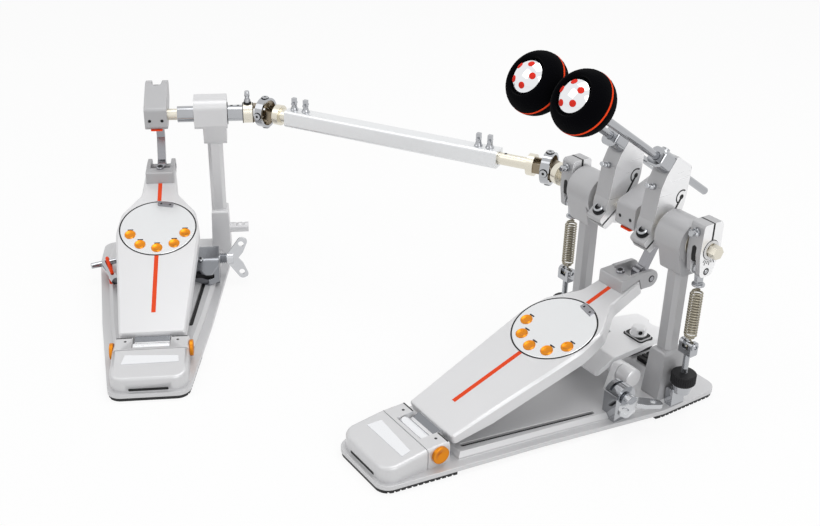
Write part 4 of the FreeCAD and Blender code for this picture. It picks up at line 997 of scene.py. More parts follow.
@dataclass
class HolderTrim:
    """Pinch bolt, key bolt, clamp screw and the painted shade in the slits and holes of one beater holder.

    Attributes:
        side: the side that it belongs to.
        x: middle of the holder.
        half: half its width.
        lug: direction from the axle to the pinch lug.
        lug_reach: distance of the pinch lug from the axle.
        out: direction of the pinch bolt.
        pinch_bolt: outline of the pinch bolt's head.
        seats: stations of that head and of its socket.
        collar: radii and levels of the dark ring under that head, painted shade in its counterbore.
        socket: outline of the dark fill in its socket, painted shade.
        key: direction of the key bolt.
        key_foot: y and height over the axle of the key bolt's foot.
        key_bolt: outline of the key bolt, from 2 mm under its foot.
        cross_bar: station, radius and length of the key bolt's cross bar.
        clamp_screw: outline of the rod clamp's screw.
        clamp_at: distance of that screw over the rod, and along it.
        eye: y and height over the axle of the eyelet.
        lower_slit: ends and half width of the slit through the lug.
        upper_slit: ends and half width of the slit towards the eyelet.
        eyelet: radius of the hole where the upper slit ends.
        arc: start, extent in degrees and steps of the dark arc round the eyelet.
        arc_size: inner and outer radius, and levels of that arc.
    """

    side: Side
    x: float
    half: float = 10.0
    lug: Triple = (0.0, -0.79, -0.61)
    lug_reach: float = 18.5
    out: Triple = (0.0, -0.61, 0.79)
    pinch_bolt: tuple[Pair, ...] = ((0, 5.6), (7.6, 5.6), (8.4, 4.8), (8.4, 3.8), (5.0, 3.6))
    seats: Pair = (5.0, 10.2)
    collar: Quad = (5.65, 7.6, 8.0, 9.6)
    socket: tuple[Pair, ...] = ((0, 3.55), (0.6, 3.5))
    key: Triple = (0.0, -0.96, 0.28)
    key_foot: Pair = (-12.5, 43.0)
    key_bolt: tuple[Pair, ...] = ((0, 3.4), (6.5, 3.4), (7.0, 3.0), (7.0, 2.4), (13.0, 2.4), (13.6, 1.9))
    cross_bar: Triple = (8.4, 2.0, 10.0)
    clamp_screw: tuple[Pair, ...] = ((0, 4.2), (2.4, 4.2), (2.9, 3.6), (2.9, 2.2), (1.6, 2.0))
    clamp_at: Pair = (9.0, 1.0)
    eye: Pair = (17.0, 29.0)
    lower_slit: Triple = (20.0, 29.7, 1.1)
    upper_slit: Triple = (10.5, 33.6, 1.35)
    eyelet: float = 2.7
    arc: tuple[float, float, int] = (55.0, 175.0, 14)
    arc_size: Quad = (6.4, 7.9, -0.4, 0.06)

    def bolts(self, head: Vector) -> None:
        """Makes the three bolts.

        Args:
            head: middle of the pinch lug.
        """
        out, key = Vector(self.out), Vector(self.key)
        bolts = Form(self.side.node("holder_bolts"), self.side.drive(), CHROME)
        bolts.lathe(head + out * self.seats[0], out, self.pinch_bolt, 32)
        y, up = self.key_foot
        foot = Vector((self.x, y, AXLE_Z + up))
        bolts.lathe(foot - key * 2, key, self.key_bolt, 20)
        station, radius, length = self.cross_bar
        bar = foot + key * station
        bolts.pin((self.x - length / 2, bar.y, bar.z), ACROSS, radius, length, 0.5, 20)
        over, along = self.clamp_at
        clamp = Vector((self.x, *ROD_CLAMP)) + OVER_ROD * over + ROD_WAY * along
        bolts.lathe(clamp, OVER_ROD, self.clamp_screw, 20).done()

    def darks(self, head: Vector) -> None:
        """Makes the painted shade in socket, counterbore, slits and eyelet, and the dark arcs round the
        eyelet.

        Args:
            head: middle of the pinch lug.
        """
        out, eye = Vector(self.out), Vector((0.0, *self.eye))
        hub = Vector((self.x, 0.0, AXLE_Z))
        depth = self.half + 0.06
        darks = Form(self.side.node("holder_darks"), self.side.drive(), BLACK_AND_SHADE)
        darks.lathe(head + out * self.seats[1], out, self.socket, 6)
        darks.ring(head, out, self.collar[:2], self.collar[2:])
        near, far, half = self.lower_slit
        darks.bar(hub, Vector(self.lug), (near, far), half, depth)
        near, far, half = self.upper_slit
        way = eye.normalized()
        darks.bar(hub, way, (near, far), half, depth)
        darks.pin(hub + way * far - ACROSS * depth, ACROSS, self.eyelet, 2 * depth, 0.02, 24)
        first, extent, steps = self.arc
        ways = [clock(first + extent * i / steps) for i in range(steps + 1)]
        corners = rectangle(*self.arc_size)
        for away in (-1.0, 1.0):
            spot = hub + eye + ACROSS * (away * (self.half + 0.05))
            darks.loft([[spot + way * r + ACROSS * (away * x) for r, x in corners] for way in ways])
        darks.done()

    def build(self) -> None:
        """Makes the trim of the holder."""
        head = Vector((self.x, 0.0, AXLE_Z)) + Vector(self.lug) * self.lug_reach
        self.bolts(head)
        self.darks(head)


@dataclass
class RockerTrim:
    """Pinch bolt, washer, graduations, lower screw, and painted shade in the slot and the split of one
    rocker.

    Attributes:
        side: the side that it belongs to.
        x: middle of the rocker.
        half: half its width.
        front: depth of its front face, height under which that face leans, and how much.
        bolt: y and z of the pinch bolt.
        pinch_bolt: outline of the pinch bolt.
        cross_bar: y, radius and length of the pinch bolt's cross bar.
        nut: y, radius and length of its nut.
        tail: (y, z) of the lower screw.
        tail_screw: radius and length of that screw, and radius of the dark line round it.
        washer: inner and outer radius of the axle's washer, and radius of the dark line round it.
        washer_levels: inner and outer face of the washer.
        line_levels: inner and outer face of the dark lines.
        split: half width, lower and upper end of the split over the axle.
        slot: half width, lower and upper end of the slot in its front face.
        slot_depth: front and rear of that slot, from the front face.
        slot_steps: steps along that slot.
        marks: number of graduations, their step in degrees, inner end and half width.
        mark_ends: outer ends of the short and the long graduations.
    """

    side: Side
    x: float
    half: float = 8.5
    front: Triple = (-13.9, 188.0, 0.16)
    bolt: Pair = (-11.0, AXLE_Z + 19.0)
    pinch_bolt: tuple[Pair, ...] = ((0, 4.6), (4.6, 4.6), (5.2, 4.0), (5.2, 2.8), (11.4, 2.8), (12.0, 2.3))
    cross_bar: Triple = (-18.0, 2.1, 10.4)
    nut: Triple = (11.0, 4.2, 4.0)
    tail: Pair = (-2.0, 171.0)
    tail_screw: Triple = (2.3, 1.1, 3.7)
    washer: Triple = (7.05, 9.9, 10.5)
    washer_levels: Pair = (-0.5, 1.0)
    line_levels: Pair = (-0.5, 0.14)
    split: Triple = (1.2, 201.5, 221.8)
    slot: Triple = (2.6, 182.0, 199.0)
    slot_depth: Pair = (-0.1, 2.0)
    slot_steps: int = 12
    marks: tuple[int, float, float, float] = (7, 12.0, 11.2, 0.45)
    mark_ends: Pair = (14.6, 16.4)

    def bolts(self, face: Vector, out: Vector) -> None:
        """Makes the pinch bolt, the lower screw and the washer round the axle end.

        Args:
            face: middle of the axle on the rocker's outer face.
            out: the way that face looks.
        """
        y, z = self.bolt
        bolt = Form(self.side.node("rocker_bolt"), self.side.drive(), CHROME)
        bolt.lathe(Vector((self.x, y, z)), BACK, self.pinch_bolt, 24)
        y, radius, length = self.cross_bar
        bolt.pin((self.x - length / 2, y, z), ACROSS, radius, length, 0.5, 20)
        y, radius, length = self.nut
        bolt.pin((self.x, y, z), (0, 1, 0), radius, length, 0.6, 6)
        radius, length, _ = self.tail_screw
        bolt.pin((face.x - out.x * 0.5, *self.tail), out, radius, length, 0.4, 20).done()
        washer = Form(self.side.node("axle_washer"), self.side.drive(), BOARD)
        washer.ring(face, out, self.washer[:2], self.washer_levels).done()

    def slot_rows(self) -> list[list[Vector]]:
        """Corners of the slot in the front face at each height; its upper end is round.

        Returns:
            The corners, from the lower end upwards.
        """
        half, low, high = self.slot
        depth, lean_under, lean = self.front
        rows = []
        for i in range(self.slot_steps + 1):
            z = low + (high - low) * i / self.slot_steps
            over = max(0.0, z - (high - half))
            wide = math.sqrt(max(0.04, half * half - over * over))
            y = depth + max(0.0, lean_under - z) * lean
            corners = rectangle(-wide, wide, *self.slot_depth)
            rows.append([Vector((self.x + x, y + ahead, z)) for x, ahead in corners])
        return rows

    def darks(self, face: Vector, out: Vector) -> None:
        """Makes the graduations, the dark lines round washer and screw, and the dark fills of the split and
        the slot, which are painted shade.

        Args:
            face: middle of the axle on the rocker's outer face.
            out: the way that face looks.
        """
        darks = Form(self.side.node("rocker_darks"), self.side.drive(), BLACK_AND_SHADE)
        count, step, near, half = self.marks
        for i in range(count):
            way = clock(-90 + (i - count // 2) * step)
            darks.bar(face, way, (near, self.mark_ends[i % 2]), half, PROUD)
        darks.ring(face, out, self.washer[1:], self.line_levels)
        radius, _, line = self.tail_screw
        darks.ring(Vector((face.x, *self.tail)), out, (radius, line), self.line_levels, 24)
        deep, low, high = self.split
        wide = self.half + 0.07
        darks.slab(rectangle(self.x - wide, self.x + wide, -deep, deep), low, high)
        darks.loft(self.slot_rows()).done()

    def build(self) -> None:
        """Makes the trim of the rocker."""
        out = Vector((self.side.value, 0.0, 0.0))
        face = Vector((self.x + out.x * self.half, 0.0, AXLE_Z))
        self.bolts(face, out)
        self.darks(face, out)


@dataclass
class BeaterHead:
    """Felt with its red ring, domed cap and red dots of one beater.

    Attributes:
        side: the side that it belongs to.
        x: middle of the beater.
        first_dot: angle of the first dot in degrees.
        felt: outline of the felt, as distance from the clamp and radius.
        wool: radius from which the felt is woolly, and how far its wool stands out.
        ring: start, width, inner and outer radius of the red ring.
        cap: distance, radius and height of the dome.
        foot: outline of the dome's foot, from its edge.
        dome_steps: steps from the dome's edge to its top.
        dots: number, ring radius and radius of the dots.
        dot_levels: how deep a dot starts under the dome, where its edge breaks, and its top.
        dot_edge: width of its broken edge.
    """

    side: Side
    x: float
    first_dot: float
    felt: tuple[Pair, ...] = (
        (118.3, 4.0), (118.0, 8.0), (118.0, 22.5), (118.8, 24.6), (120.5, 26.4), (122.2, 27.7), (124.0, 28.7),
        (126.0, 29.55), (128.0, 30.2), (130.0, 30.66), (132.0, 30.92), (135.0, 31.0), (138.0, 30.8),
        (141.0, 30.1), (144.0, 28.9), (146.5, 27.4), (148.6, 25.8), (150.3, 24.1), (151.5, 22.6),
        (152.0, 21.2), (151.7, 20.0), (150.6, 19.3), (148.6, 18.9), (148.2, 18.2), (148.2, 2.0),
    )
    wool: Pair = (19.5, 0.16)
    ring: Quad = (133.6, 2.0, 29.0, 31.16)
    cap: Triple = (148.3, 18.6, 9.6)
    foot: tuple[Pair, ...] = ((-1.4, -0.8), (-0.6, 0.0))
    dome_steps: int = 20
    dots: tuple[int, float, float] = (5, 11.4, 3.2)
    dot_levels: Triple = (0.6, 0.75, 0.95)
    dot_edge: float = 0.4

    def form(self, what: str, finish: Finish) -> Form:
        """Starts a piece that rides the beater."""
        return Form(self.side.node(what), self.side.node("beater"), finish)

    def soft(self, start: Vector) -> None:
        """Makes the felt, with its woolly outline, and the ring round it.

        Args:
            start: middle of the rod in its clamp.
        """
        felt = self.form("felt", FELT).lathe(start, ROD_WAY, self.felt, 120)
        near, wool = self.wool
        for i, vert in enumerate(felt.work.verts):
            out = vert.co - start
            out -= ROD_WAY * out.dot(ROD_WAY)
            if out.length > near:
                vert.co += out.normalized() * (wool * math.sin(12.9898 * i) * math.sin(78.233 * i))
        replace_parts(felt.done(), self.side.node("beater_felt"))
        station, wide, inner, outer = self.ring
        profile = [(0, inner), (0, outer), (wide, outer), (wide, inner)]
        self.form("felt_ring", RED_CLIP).lathe(start + ROD_WAY * station, ROD_WAY, profile, 96).done()

    def hard(self, start: Vector) -> None:
        """Makes the dome and its dots.

        Args:
            start: middle of the rod in its clamp.
        """
        base, radius, crown = self.cap
        ball = (radius * radius + crown * crown) / (2 * crown)
        middle = base + crown - ball
        edge = math.asin(radius / ball)
        turns = [edge * (1 - i / self.dome_steps) for i in range(self.dome_steps)]
        profile = [(base + along, radius + out) for along, out in self.foot]
        profile += [(middle + ball * math.cos(a), ball * math.sin(a)) for a in turns]
        dome = self.form("dome", CAP).lathe(start, ROD_WAY, profile, 72).done()
        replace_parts(dome, self.side.node("beater_cap"))
        count, ring, size = self.dots
        sunk, brink, top = self.dot_levels
        lean = math.asin(ring / ball)
        dots = self.form("cap_dots", DOT)
        for i in range(count):
            a = math.radians(self.first_dot + 360.0 / count * i)
            away = ACROSS * math.cos(a) + OVER_ROD * math.sin(a)
            tip = ROD_WAY * math.cos(lean) + away * math.sin(lean)
            spot = start + ROD_WAY * middle + tip * (ball - sunk)
            dots.lathe(spot, tip, ((0, size), (brink, size), (top, size - self.dot_edge)), 28)
        dots.done()

    def build(self) -> None:
        """Makes the felt, the ring, the dome and the dots."""
        start = Vector((self.x, *ROD_CLAMP))
        self.soft(start)
        self.hard(start)


@dataclass
class SpringSet:
    """Return spring, thread and knob of one side.

    Attributes:
        side: the side that it belongs to.
        x: middle of the spring.
        coil_ends: heights of the lowest and the highest coil.
        turns: number of turns.
        turn_steps: points on each turn.
        coil: mean radius of the coil.
        taper: share of that radius at the coil's ends, and points over which it would double.
        wire: radius of the wire.
        pins: heights of the anchor pin and of the stirrup's floor.
        hook_turn: angle of a hook in degrees, and its steps.
        lower_hook: first angle, radius, way along y and height over its pin of the lower hook.
        upper_hook: the same of the upper hook.
        knob: lower and upper face of the knob.
        knob_radius: outer radius of the knob.
        knob_steps: points round the knob, four to a tooth.
        knob_edge: height and width of its edges, and inset of its upper recess.
        tooth: depth of the knob's teeth.
        thread_foot: height of the thread's lower end.
        thread_turns: number of its turns, and its pitch.
        thread_turn: outline of one of them.
        fork: half width of the fork.
        fork_screw: outline of a screw of the fork.
    """

    side: Side
    x: float
    coil_ends: Pair = (92.0, 145.5)
    turns: int = 18
    turn_steps: int = 24
    coil: float = 5.9
    taper: Pair = (0.62, 60.0)
    wire: float = 0.92
    pins: Pair = (84.0, 153.0)
    hook_turn: tuple[float, int] = (240.0, 9)
    lower_hook: Quad = (-150.0, 3.6, 1.0, 0.4)
    upper_hook: Quad = (-90.0, 3.2, -1.0, -0.6)
    knob: Pair = (38.0, 50.0)
    knob_radius: float = 13.0
    knob_steps: int = 128
    knob_edge: Triple = (1.0, 1.2, 3.2)
    tooth: float = 0.55
    thread_foot: float = 50.3
    thread_turns: tuple[int, float] = (19, 1.25)
    thread_turn: tuple[Pair, ...] = ((0.0, 2.7), (0.3, 3.25), (0.6, 3.25), (0.9, 2.7))
    fork: float = 7.6
    fork_screw: tuple[Pair, ...] = ((0.0, 4.6), (1.4, 4.6), (2.0, 3.9), (2.0, 2.2), (0.9, 2.0))

    def hook(self, sizes: Quad, pin: float) -> list[Vector]:
        """Points round one hook.

        Args:
            sizes: its first angle, radius, way along y and height over its pin.
            pin: height of the pin.

        Returns:
            The points.
        """
        first, radius, flip, over = sizes
        extent, steps = self.hook_turn
        ways = [clock(first + extent * i / steps) * radius for i in range(steps + 1)]
        return [Vector((self.x, flip * way.y, pin + over + way.z)) for way in ways]

    def path(self) -> list[Vector]:
        """Points along the wire, from the lower hook to the upper one.

        Returns:
            The points.
        """
        low, high = self.coil_ends
        share, slow = self.taper
        points = self.hook(self.lower_hook, self.pins[0])
        steps = self.turns * self.turn_steps
        for i in range(steps + 1):
            a = 2 * math.pi * self.turns * i / steps
            radius = self.coil * min(1.0, share + i / slow, share + (steps - i) / slow)
            z = low + (high - low) * i / steps
            points.append(Vector((self.x + radius * math.sin(a), radius * math.cos(a), z)))
        return points + self.hook(self.upper_hook, self.pins[1])

    def spring(self) -> None:
        """Makes the spring, which stretches between its anchor and its stirrup."""
        name, body = self.side.node("spring_wire"), self.side.node("spring_body")
        mesh = Form(name, body, SHADED_SPRING).tube(self.path(), self.wire).mesh(60.0)
        piece = bpy.data.objects.new(name, mesh)
        bpy.context.scene.collection.objects.link(piece)
        mesh.materials.append(SHADED_SPRING.material())
        self.side.node("hanger")
        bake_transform(piece)
        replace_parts(piece, self.side.node("spring"))
        log.info("piece %s between its two hooks", piece.name)

    def nut(self) -> None:
        """Makes the knurled knob in place of the plain one."""
        low, high = self.knob
        tall, wide, recess = self.knob_edge
        levels = [(low, wide, 0.0), (low + tall, 0.0, self.tooth), (high - tall, 0.0, self.tooth),
                  (high, wide, 0.0), (high, recess, 0.0)]
        rings = []
        for z, inset, tooth in levels:
            radii = [self.knob_radius - inset - (tooth if i % 4 > 1 else 0.0) for i in range(self.knob_steps)]
            spots = zip(radii, circle(1.0, self.knob_steps))
            rings.append([Vector((self.x + radius * x, radius * y, z)) for radius, (x, y) in spots])
        knob = Form(self.side.node("knurled_knob"), self.side.node("nut"), KNURL).loft(rings).done()
        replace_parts(knob, self.side.node("knob"))

    def thread(self) -> None:
        """Makes the thread of the tension rod and the screws of its fork."""
        thread = Form(self.side.node("thread"), "root", CHROME)
        profile = ribs(*self.thread_turns, self.thread_turn)
        thread.lathe(Vector((self.x, 0.0, self.thread_foot)), UP, profile, 24)
        for out in (-1.0, 1.0):
            spot = Vector((self.x + out * self.fork, 0.0, self.pins[0]))
            thread.lathe(spot, Vector((out, 0.0, 0.0)), self.fork_screw, 28)
        thread.done()

    def build(self) -> None:
        """Makes the three pieces."""
        self.spring()
        self.nut()
        self.thread()


@dataclass
class JawTrim:
    """Hexagon bolt with its gasket on the hoop jaw, and the roller beside the jaw.

    Attributes:
        spot: place of the bolt on the jaw's top.
        pads: half width, half depth, corner, lower and upper level of the two rubber gaskets.
        washer: the same of the plate between them.
        flange: outline of the bolt's flange, over the gaskets.
        head: outline of the bolt's hexagon head, over the gaskets.
        socket_turn: compass turn in degrees of the face that has a socket.
        socket_at: distance of that socket from the bolt's axis, and height over the gaskets.
        socket: outline of the dark fill in that socket, painted shade.
        roller: start and end along x, y and z of the roller.
        roller_radii: radius of the roller's ends and of its middle.
        roller_edge: width of the roller's broken edges.
    """

    spot: Triple = (14.0, 12.0, 49.6)
    pads: tuple[tuple[float, ...], ...] = ((14.0, 10.0, 3.4, -0.4, 0.8), (11.6, 8.6, 3.0, 2.2, 2.9))
    washer: tuple[float, ...] = (12.6, 8.8, 3.0, 0.8, 2.2)
    flange: tuple[Pair, ...] = ((0, 9.4), (1.2, 9.4), (1.5, 8.8))
    head: tuple[Pair, ...] = ((1.4, 8.4), (7.4, 8.4), (8.8, 6.6))
    socket_turn: float = -30.0
    socket_at: Pair = (6.3, 4.4)
    socket: tuple[Pair, ...] = ((0, 2.3), (1.2, 2.3))
    roller: Quad = (42.6, 59.2, -36.0, 36.0)
    roller_radii: Pair = (9.6, 10.3)
    roller_edge: float = 0.6

    def layer(self, form: Form, sizes: tuple[float, ...]) -> None:
        """Adds one flat layer under the bolt.

        Args:
            form: the piece that it belongs to.
            sizes: its half width, half depth, corner, lower and upper level.
        """
        wide, deep, corner, low, high = sizes
        form.slab(rectangle(-wide, wide, -deep, deep, corner), low, high, Matrix.Translation(self.spot))

    def build(self) -> None:
        """Makes the gasket, the bolt and the roller."""
        gasket = Form("jaw_gasket", "jaw", RUBBER)
        for sizes in self.pads:
            self.layer(gasket, sizes)
        gasket.done()
        start = Vector(self.spot) + UP * self.pads[-1][-1]
        bolt = Form("jaw_bolt", "jaw", JAW)
        self.layer(bolt, self.washer)
        bolt.lathe(start, UP, self.flange).lathe(start, UP, self.head, 6).done()
        turn = math.radians(self.socket_turn)
        front = Vector((math.cos(turn), math.sin(turn), 0.0))
        away, over = self.socket_at
        socket = Form("jaw_bolt_socket", "jaw", BLACK_AND_SHADE)
        socket.lathe(start + front * away + UP * over, front, self.socket, 20).done()
        low, high, y, z = self.roller
        small, large = self.roller_radii
        edge, length = self.roller_edge, high - low
        profile = [(0, small), (edge, large), (length - edge, large), (length, small)]
        Form("clamp_roller", "root", JAW).lathe(Vector((low, y, z)), ACROSS, profile, 48).done()


@dataclass
class ToeTrim:
    """Screws of one toe clevis, and set screws and pad of its cam.

    Attributes:
        pedal: the pedal that it belongs to.
        toe_pin: (y, z) of the toe pin.
        pin_end: inner end, radius and length of the pin's end at each side.
        pin_line: distance from the middle and radius of the dark line round it.
        up: direction of the screw on the clevis.
        screw: place of that screw.
        screw_head: outline of that screw.
        socket: place of its socket.
        socket_hole: outline of the dark fill in its socket, painted shade.
        set_screws: x of the cam's two set screws.
        set_screw: y of a set screw, and its height over the axle.
        set_hole: outline of the dark fill in a set screw's socket, painted shade.
        pad: extent along x and y of the cam's pad.
        pad_levels: heights of the pad's faces over the axle.
    """

    pedal: Pedal
    toe_pin: Pair = (17.6, 119.0)
    pin_end: Triple = (16.8, 2.9, 0.9)
    pin_line: Pair = (17.0, 4.0)
    up: Triple = (0.0, -0.2, 0.98)
    screw: Triple = (0.0, -12.0, 128.0)
    screw_head: tuple[Pair, ...] = ((0, 4.6), (2.4, 4.6), (3.2, 3.8), (3.2, 2.3), (1.0, 2.0))
    socket: Triple = (0.0, -12.4, 129.9)
    socket_hole: tuple[Pair, ...] = ((0, 3.1), (1.45, 3.0))
    set_screws: Pair = (-7.425, 7.425)
    set_screw: Pair = (-10.5, -3.0)
    set_hole: tuple[Pair, ...] = ((0, 1.95), (4.0, 1.9))
    pad: Quad = (-7.0, 7.0, -13.5, -6.0)
    pad_levels: Pair = (-16.4, -14.6)

    def form(self, what: str, part: str, finish: Finish) -> Form:
        """Starts a piece that rides the board or the drive."""
        return Form(self.pedal.node(what), self.pedal.node(part), finish, self.pedal)

    def build(self) -> None:
        """Makes the screws, the pad, and the painted shade in the sockets."""
        up = Vector(self.up)
        screw = self.form("toe_screw", "board", STEEL)
        darks = self.form("toe_darks", "board", BLACK_AND_SHADE)
        screw.lathe(Vector(self.screw), up, self.screw_head, 32)
        near, radius, length = self.pin_end
        seat, line = self.pin_line
        for out in (-1.0, 1.0):
            way = Vector((out, 0.0, 0.0))
            screw.pin((out * near, *self.toe_pin), way, radius, length, 0.3, 20)
            darks.ring(Vector((out * seat, *self.toe_pin)), way, (radius, line), (-0.4, PROUD), 24)
        darks.lathe(Vector(self.socket), up, self.socket_hole, 6)
        screw.done()
        darks.done()
        y, over = self.set_screw
        sockets = self.form("cam_sockets", "drive", BLACK_AND_SHADE)
        for x in self.set_screws:
            sockets.lathe(Vector((x, y, AXLE_Z + over)), BACK, self.set_hole, 20)
        sockets.done()
        low, high = self.pad_levels
        pad = self.form("cam_pad", "drive", RED_CLIP)
        pad.slab(rectangle(*self.pad, 1.5), AXLE_Z + low, AXLE_Z + high).done()


@dataclass
class PlateTrim:
    """Dark strips in the two grooves of one base plate.

    Attributes:
        pedal: the pedal that it belongs to.
        body: the body that the plate is part of.
        groove: rear and front end of the right groove, (x, y) each.
        levels: heights of the strip's lower and upper face.
        half: half width of the strip.
        gap: how far the strip stays from the groove's ends.
        corner: corner radius of the strip.
    """

    pedal: Pedal
    body: str
    groove: tuple[Pair, Pair]
    levels: Pair = (11.2, 12.4)
    half: float = 2.3
    gap: float = 0.4
    corner: float = 2.0

    def build(self) -> None:
        """Makes the strips."""
        (x0, y0), (x1, y1) = self.groove
        strips = Form(self.pedal.node("groove_strips"), self.body, RUBBER, self.pedal)
        for way in (-1.0, 1.0):
            start, end = Vector((way * x0, y0, 0.0)), Vector((way * x1, y1, 0.0))
            along = end - start
            place = Matrix.Translation(start) @ Matrix.Rotation(math.atan2(along.y, along.x), 4, "Z")
            outline = rectangle(self.gap, along.length - self.gap, -self.half, self.half, self.corner)
            strips.slab(outline, *self.levels, place)
        strips.done()


@dataclass
class JointTrim:
    """Dark collars round the four pivot screws of one gimbal ring.

    Attributes:
        pedal: the pedal at whose end of the shaft the ring is.
        middle: middle of the ring.
        seat: inner and outer distance of a collar from the middle.
        radii: inner and outer radius of a collar.
        socket: outline of the dark fill in a screw's socket, from the middle, painted shade.
    """

    pedal: Pedal
    middle: Vector
    seat: Pair = (17.2, 18.75)
    radii: Pair = (4.15, 4.9)
    socket: tuple[Pair, ...] = ((19.0, 1.8), (20.08, 1.75))

    def build(self) -> None:
        """Makes the collars, and the dark fills of the sockets in the screws, which are painted shade."""
        side = Vector((-SHAFT.y, SHAFT.x, 0.0))
        collars = Form(self.pedal.node("joint_collars"), self.pedal.node("gimbal"), BLACK_AND_SHADE)
        for i in range(4):
            a = math.radians(90 * i)
            way = side * math.cos(a) + UP * math.sin(a)
            collars.ring(self.middle, way, self.radii, self.seat, 28)
            collars.lathe(self.middle, way, self.socket, 6)
        collars.done()


@dataclass
class ShaftTrim:
    """Washers under the tube's key bolts, the hole in the rod and the key bolt on the slave's collar.

    Attributes:
        bolts: stations of the key bolts along the tube.
        washer: outline of a washer, from the tube's middle.
        hole: station of the hole in the rod.
        hole_size: outline of the dark fill of that hole, from the rod's middle, painted shade.
        collar: station and radius of the collar on the slave's axle.
        collar_ends: stations of the dark lines at the collar's ends.
        line: inner radius and half width of such a line.
        collar_seat: outline of the dark seat of the collar's key bolt, from the collar's top.
        collar_bolt: outline of that bolt, from the collar's top.
        cross_bar: height, radius and length of the bolt's cross bar.
    """

    bolts: Quad = (42.0, 58.0, 286.0, 300.0)
    washer: tuple[Pair, ...] = ((10.1, 5.0), (11.3, 5.0), (12.3, 4.2), (14.7, 3.4), (15.5, 3.3))
    hole: float = 320.0
    hole_size: tuple[Pair, ...] = ((6.0, 1.7), (7.05, 1.7))
    collar: Pair = (111.0, 12.5)
    collar_ends: Pair = (105.2, 117.4)
    line: Pair = (9.0, 0.5)
    collar_seat: tuple[Pair, ...] = ((-0.8, 5.0), (1.2, 5.0), (1.6, 4.6))
    collar_bolt: tuple[Pair, ...] = (
        (1.6, 4.2), (4.2, 4.0), (6.2, 2.9), (8.6, 2.7), (9.0, 3.4), (15.0, 2.9), (15.6, 2.4),
    )
    cross_bar: Triple = (7.4, 1.8, 10.0)

    def build(self) -> None:
        """Makes the small pieces of the shaft."""
        washers = Form("tube_bolt_washers", "shaft_tube", CHROME)
        for station in self.bolts:
            washers.lathe(SLAVE_JOINT + SHAFT * station, UP, self.washer, 28)
        washers.done()
        hole = Form("rod_hole", "shaft_rod", BLACK_AND_SHADE)
        hole.lathe(SLAVE_JOINT + SHAFT * self.hole, UP, self.hole_size, 20).done()
        station, radius = self.collar
        foot = SLAVE_AXLE + SLAVE_WAY * station + UP * radius
        darks = Form("collar_darks", "slave_drive", BLACK_AND_SHADE).lathe(foot, UP, self.collar_seat, 28)
        inner, half = self.line
        for station in self.collar_ends:
            middle = SLAVE_AXLE + SLAVE_WAY * station
            darks.ring(middle, SLAVE_WAY, (inner, radius + PROUD), (-half, half), 48)
        darks.done()
        up, radius, length = self.cross_bar
        side = UP.cross(SLAVE_WAY)
        bolt = Form("collar_bolt", "slave_drive", CHROME).lathe(foot, UP, self.collar_bolt, 24)
        bolt.pin(foot + UP * up - side * (length / 2), side, radius, length, 0.4, 18).done()


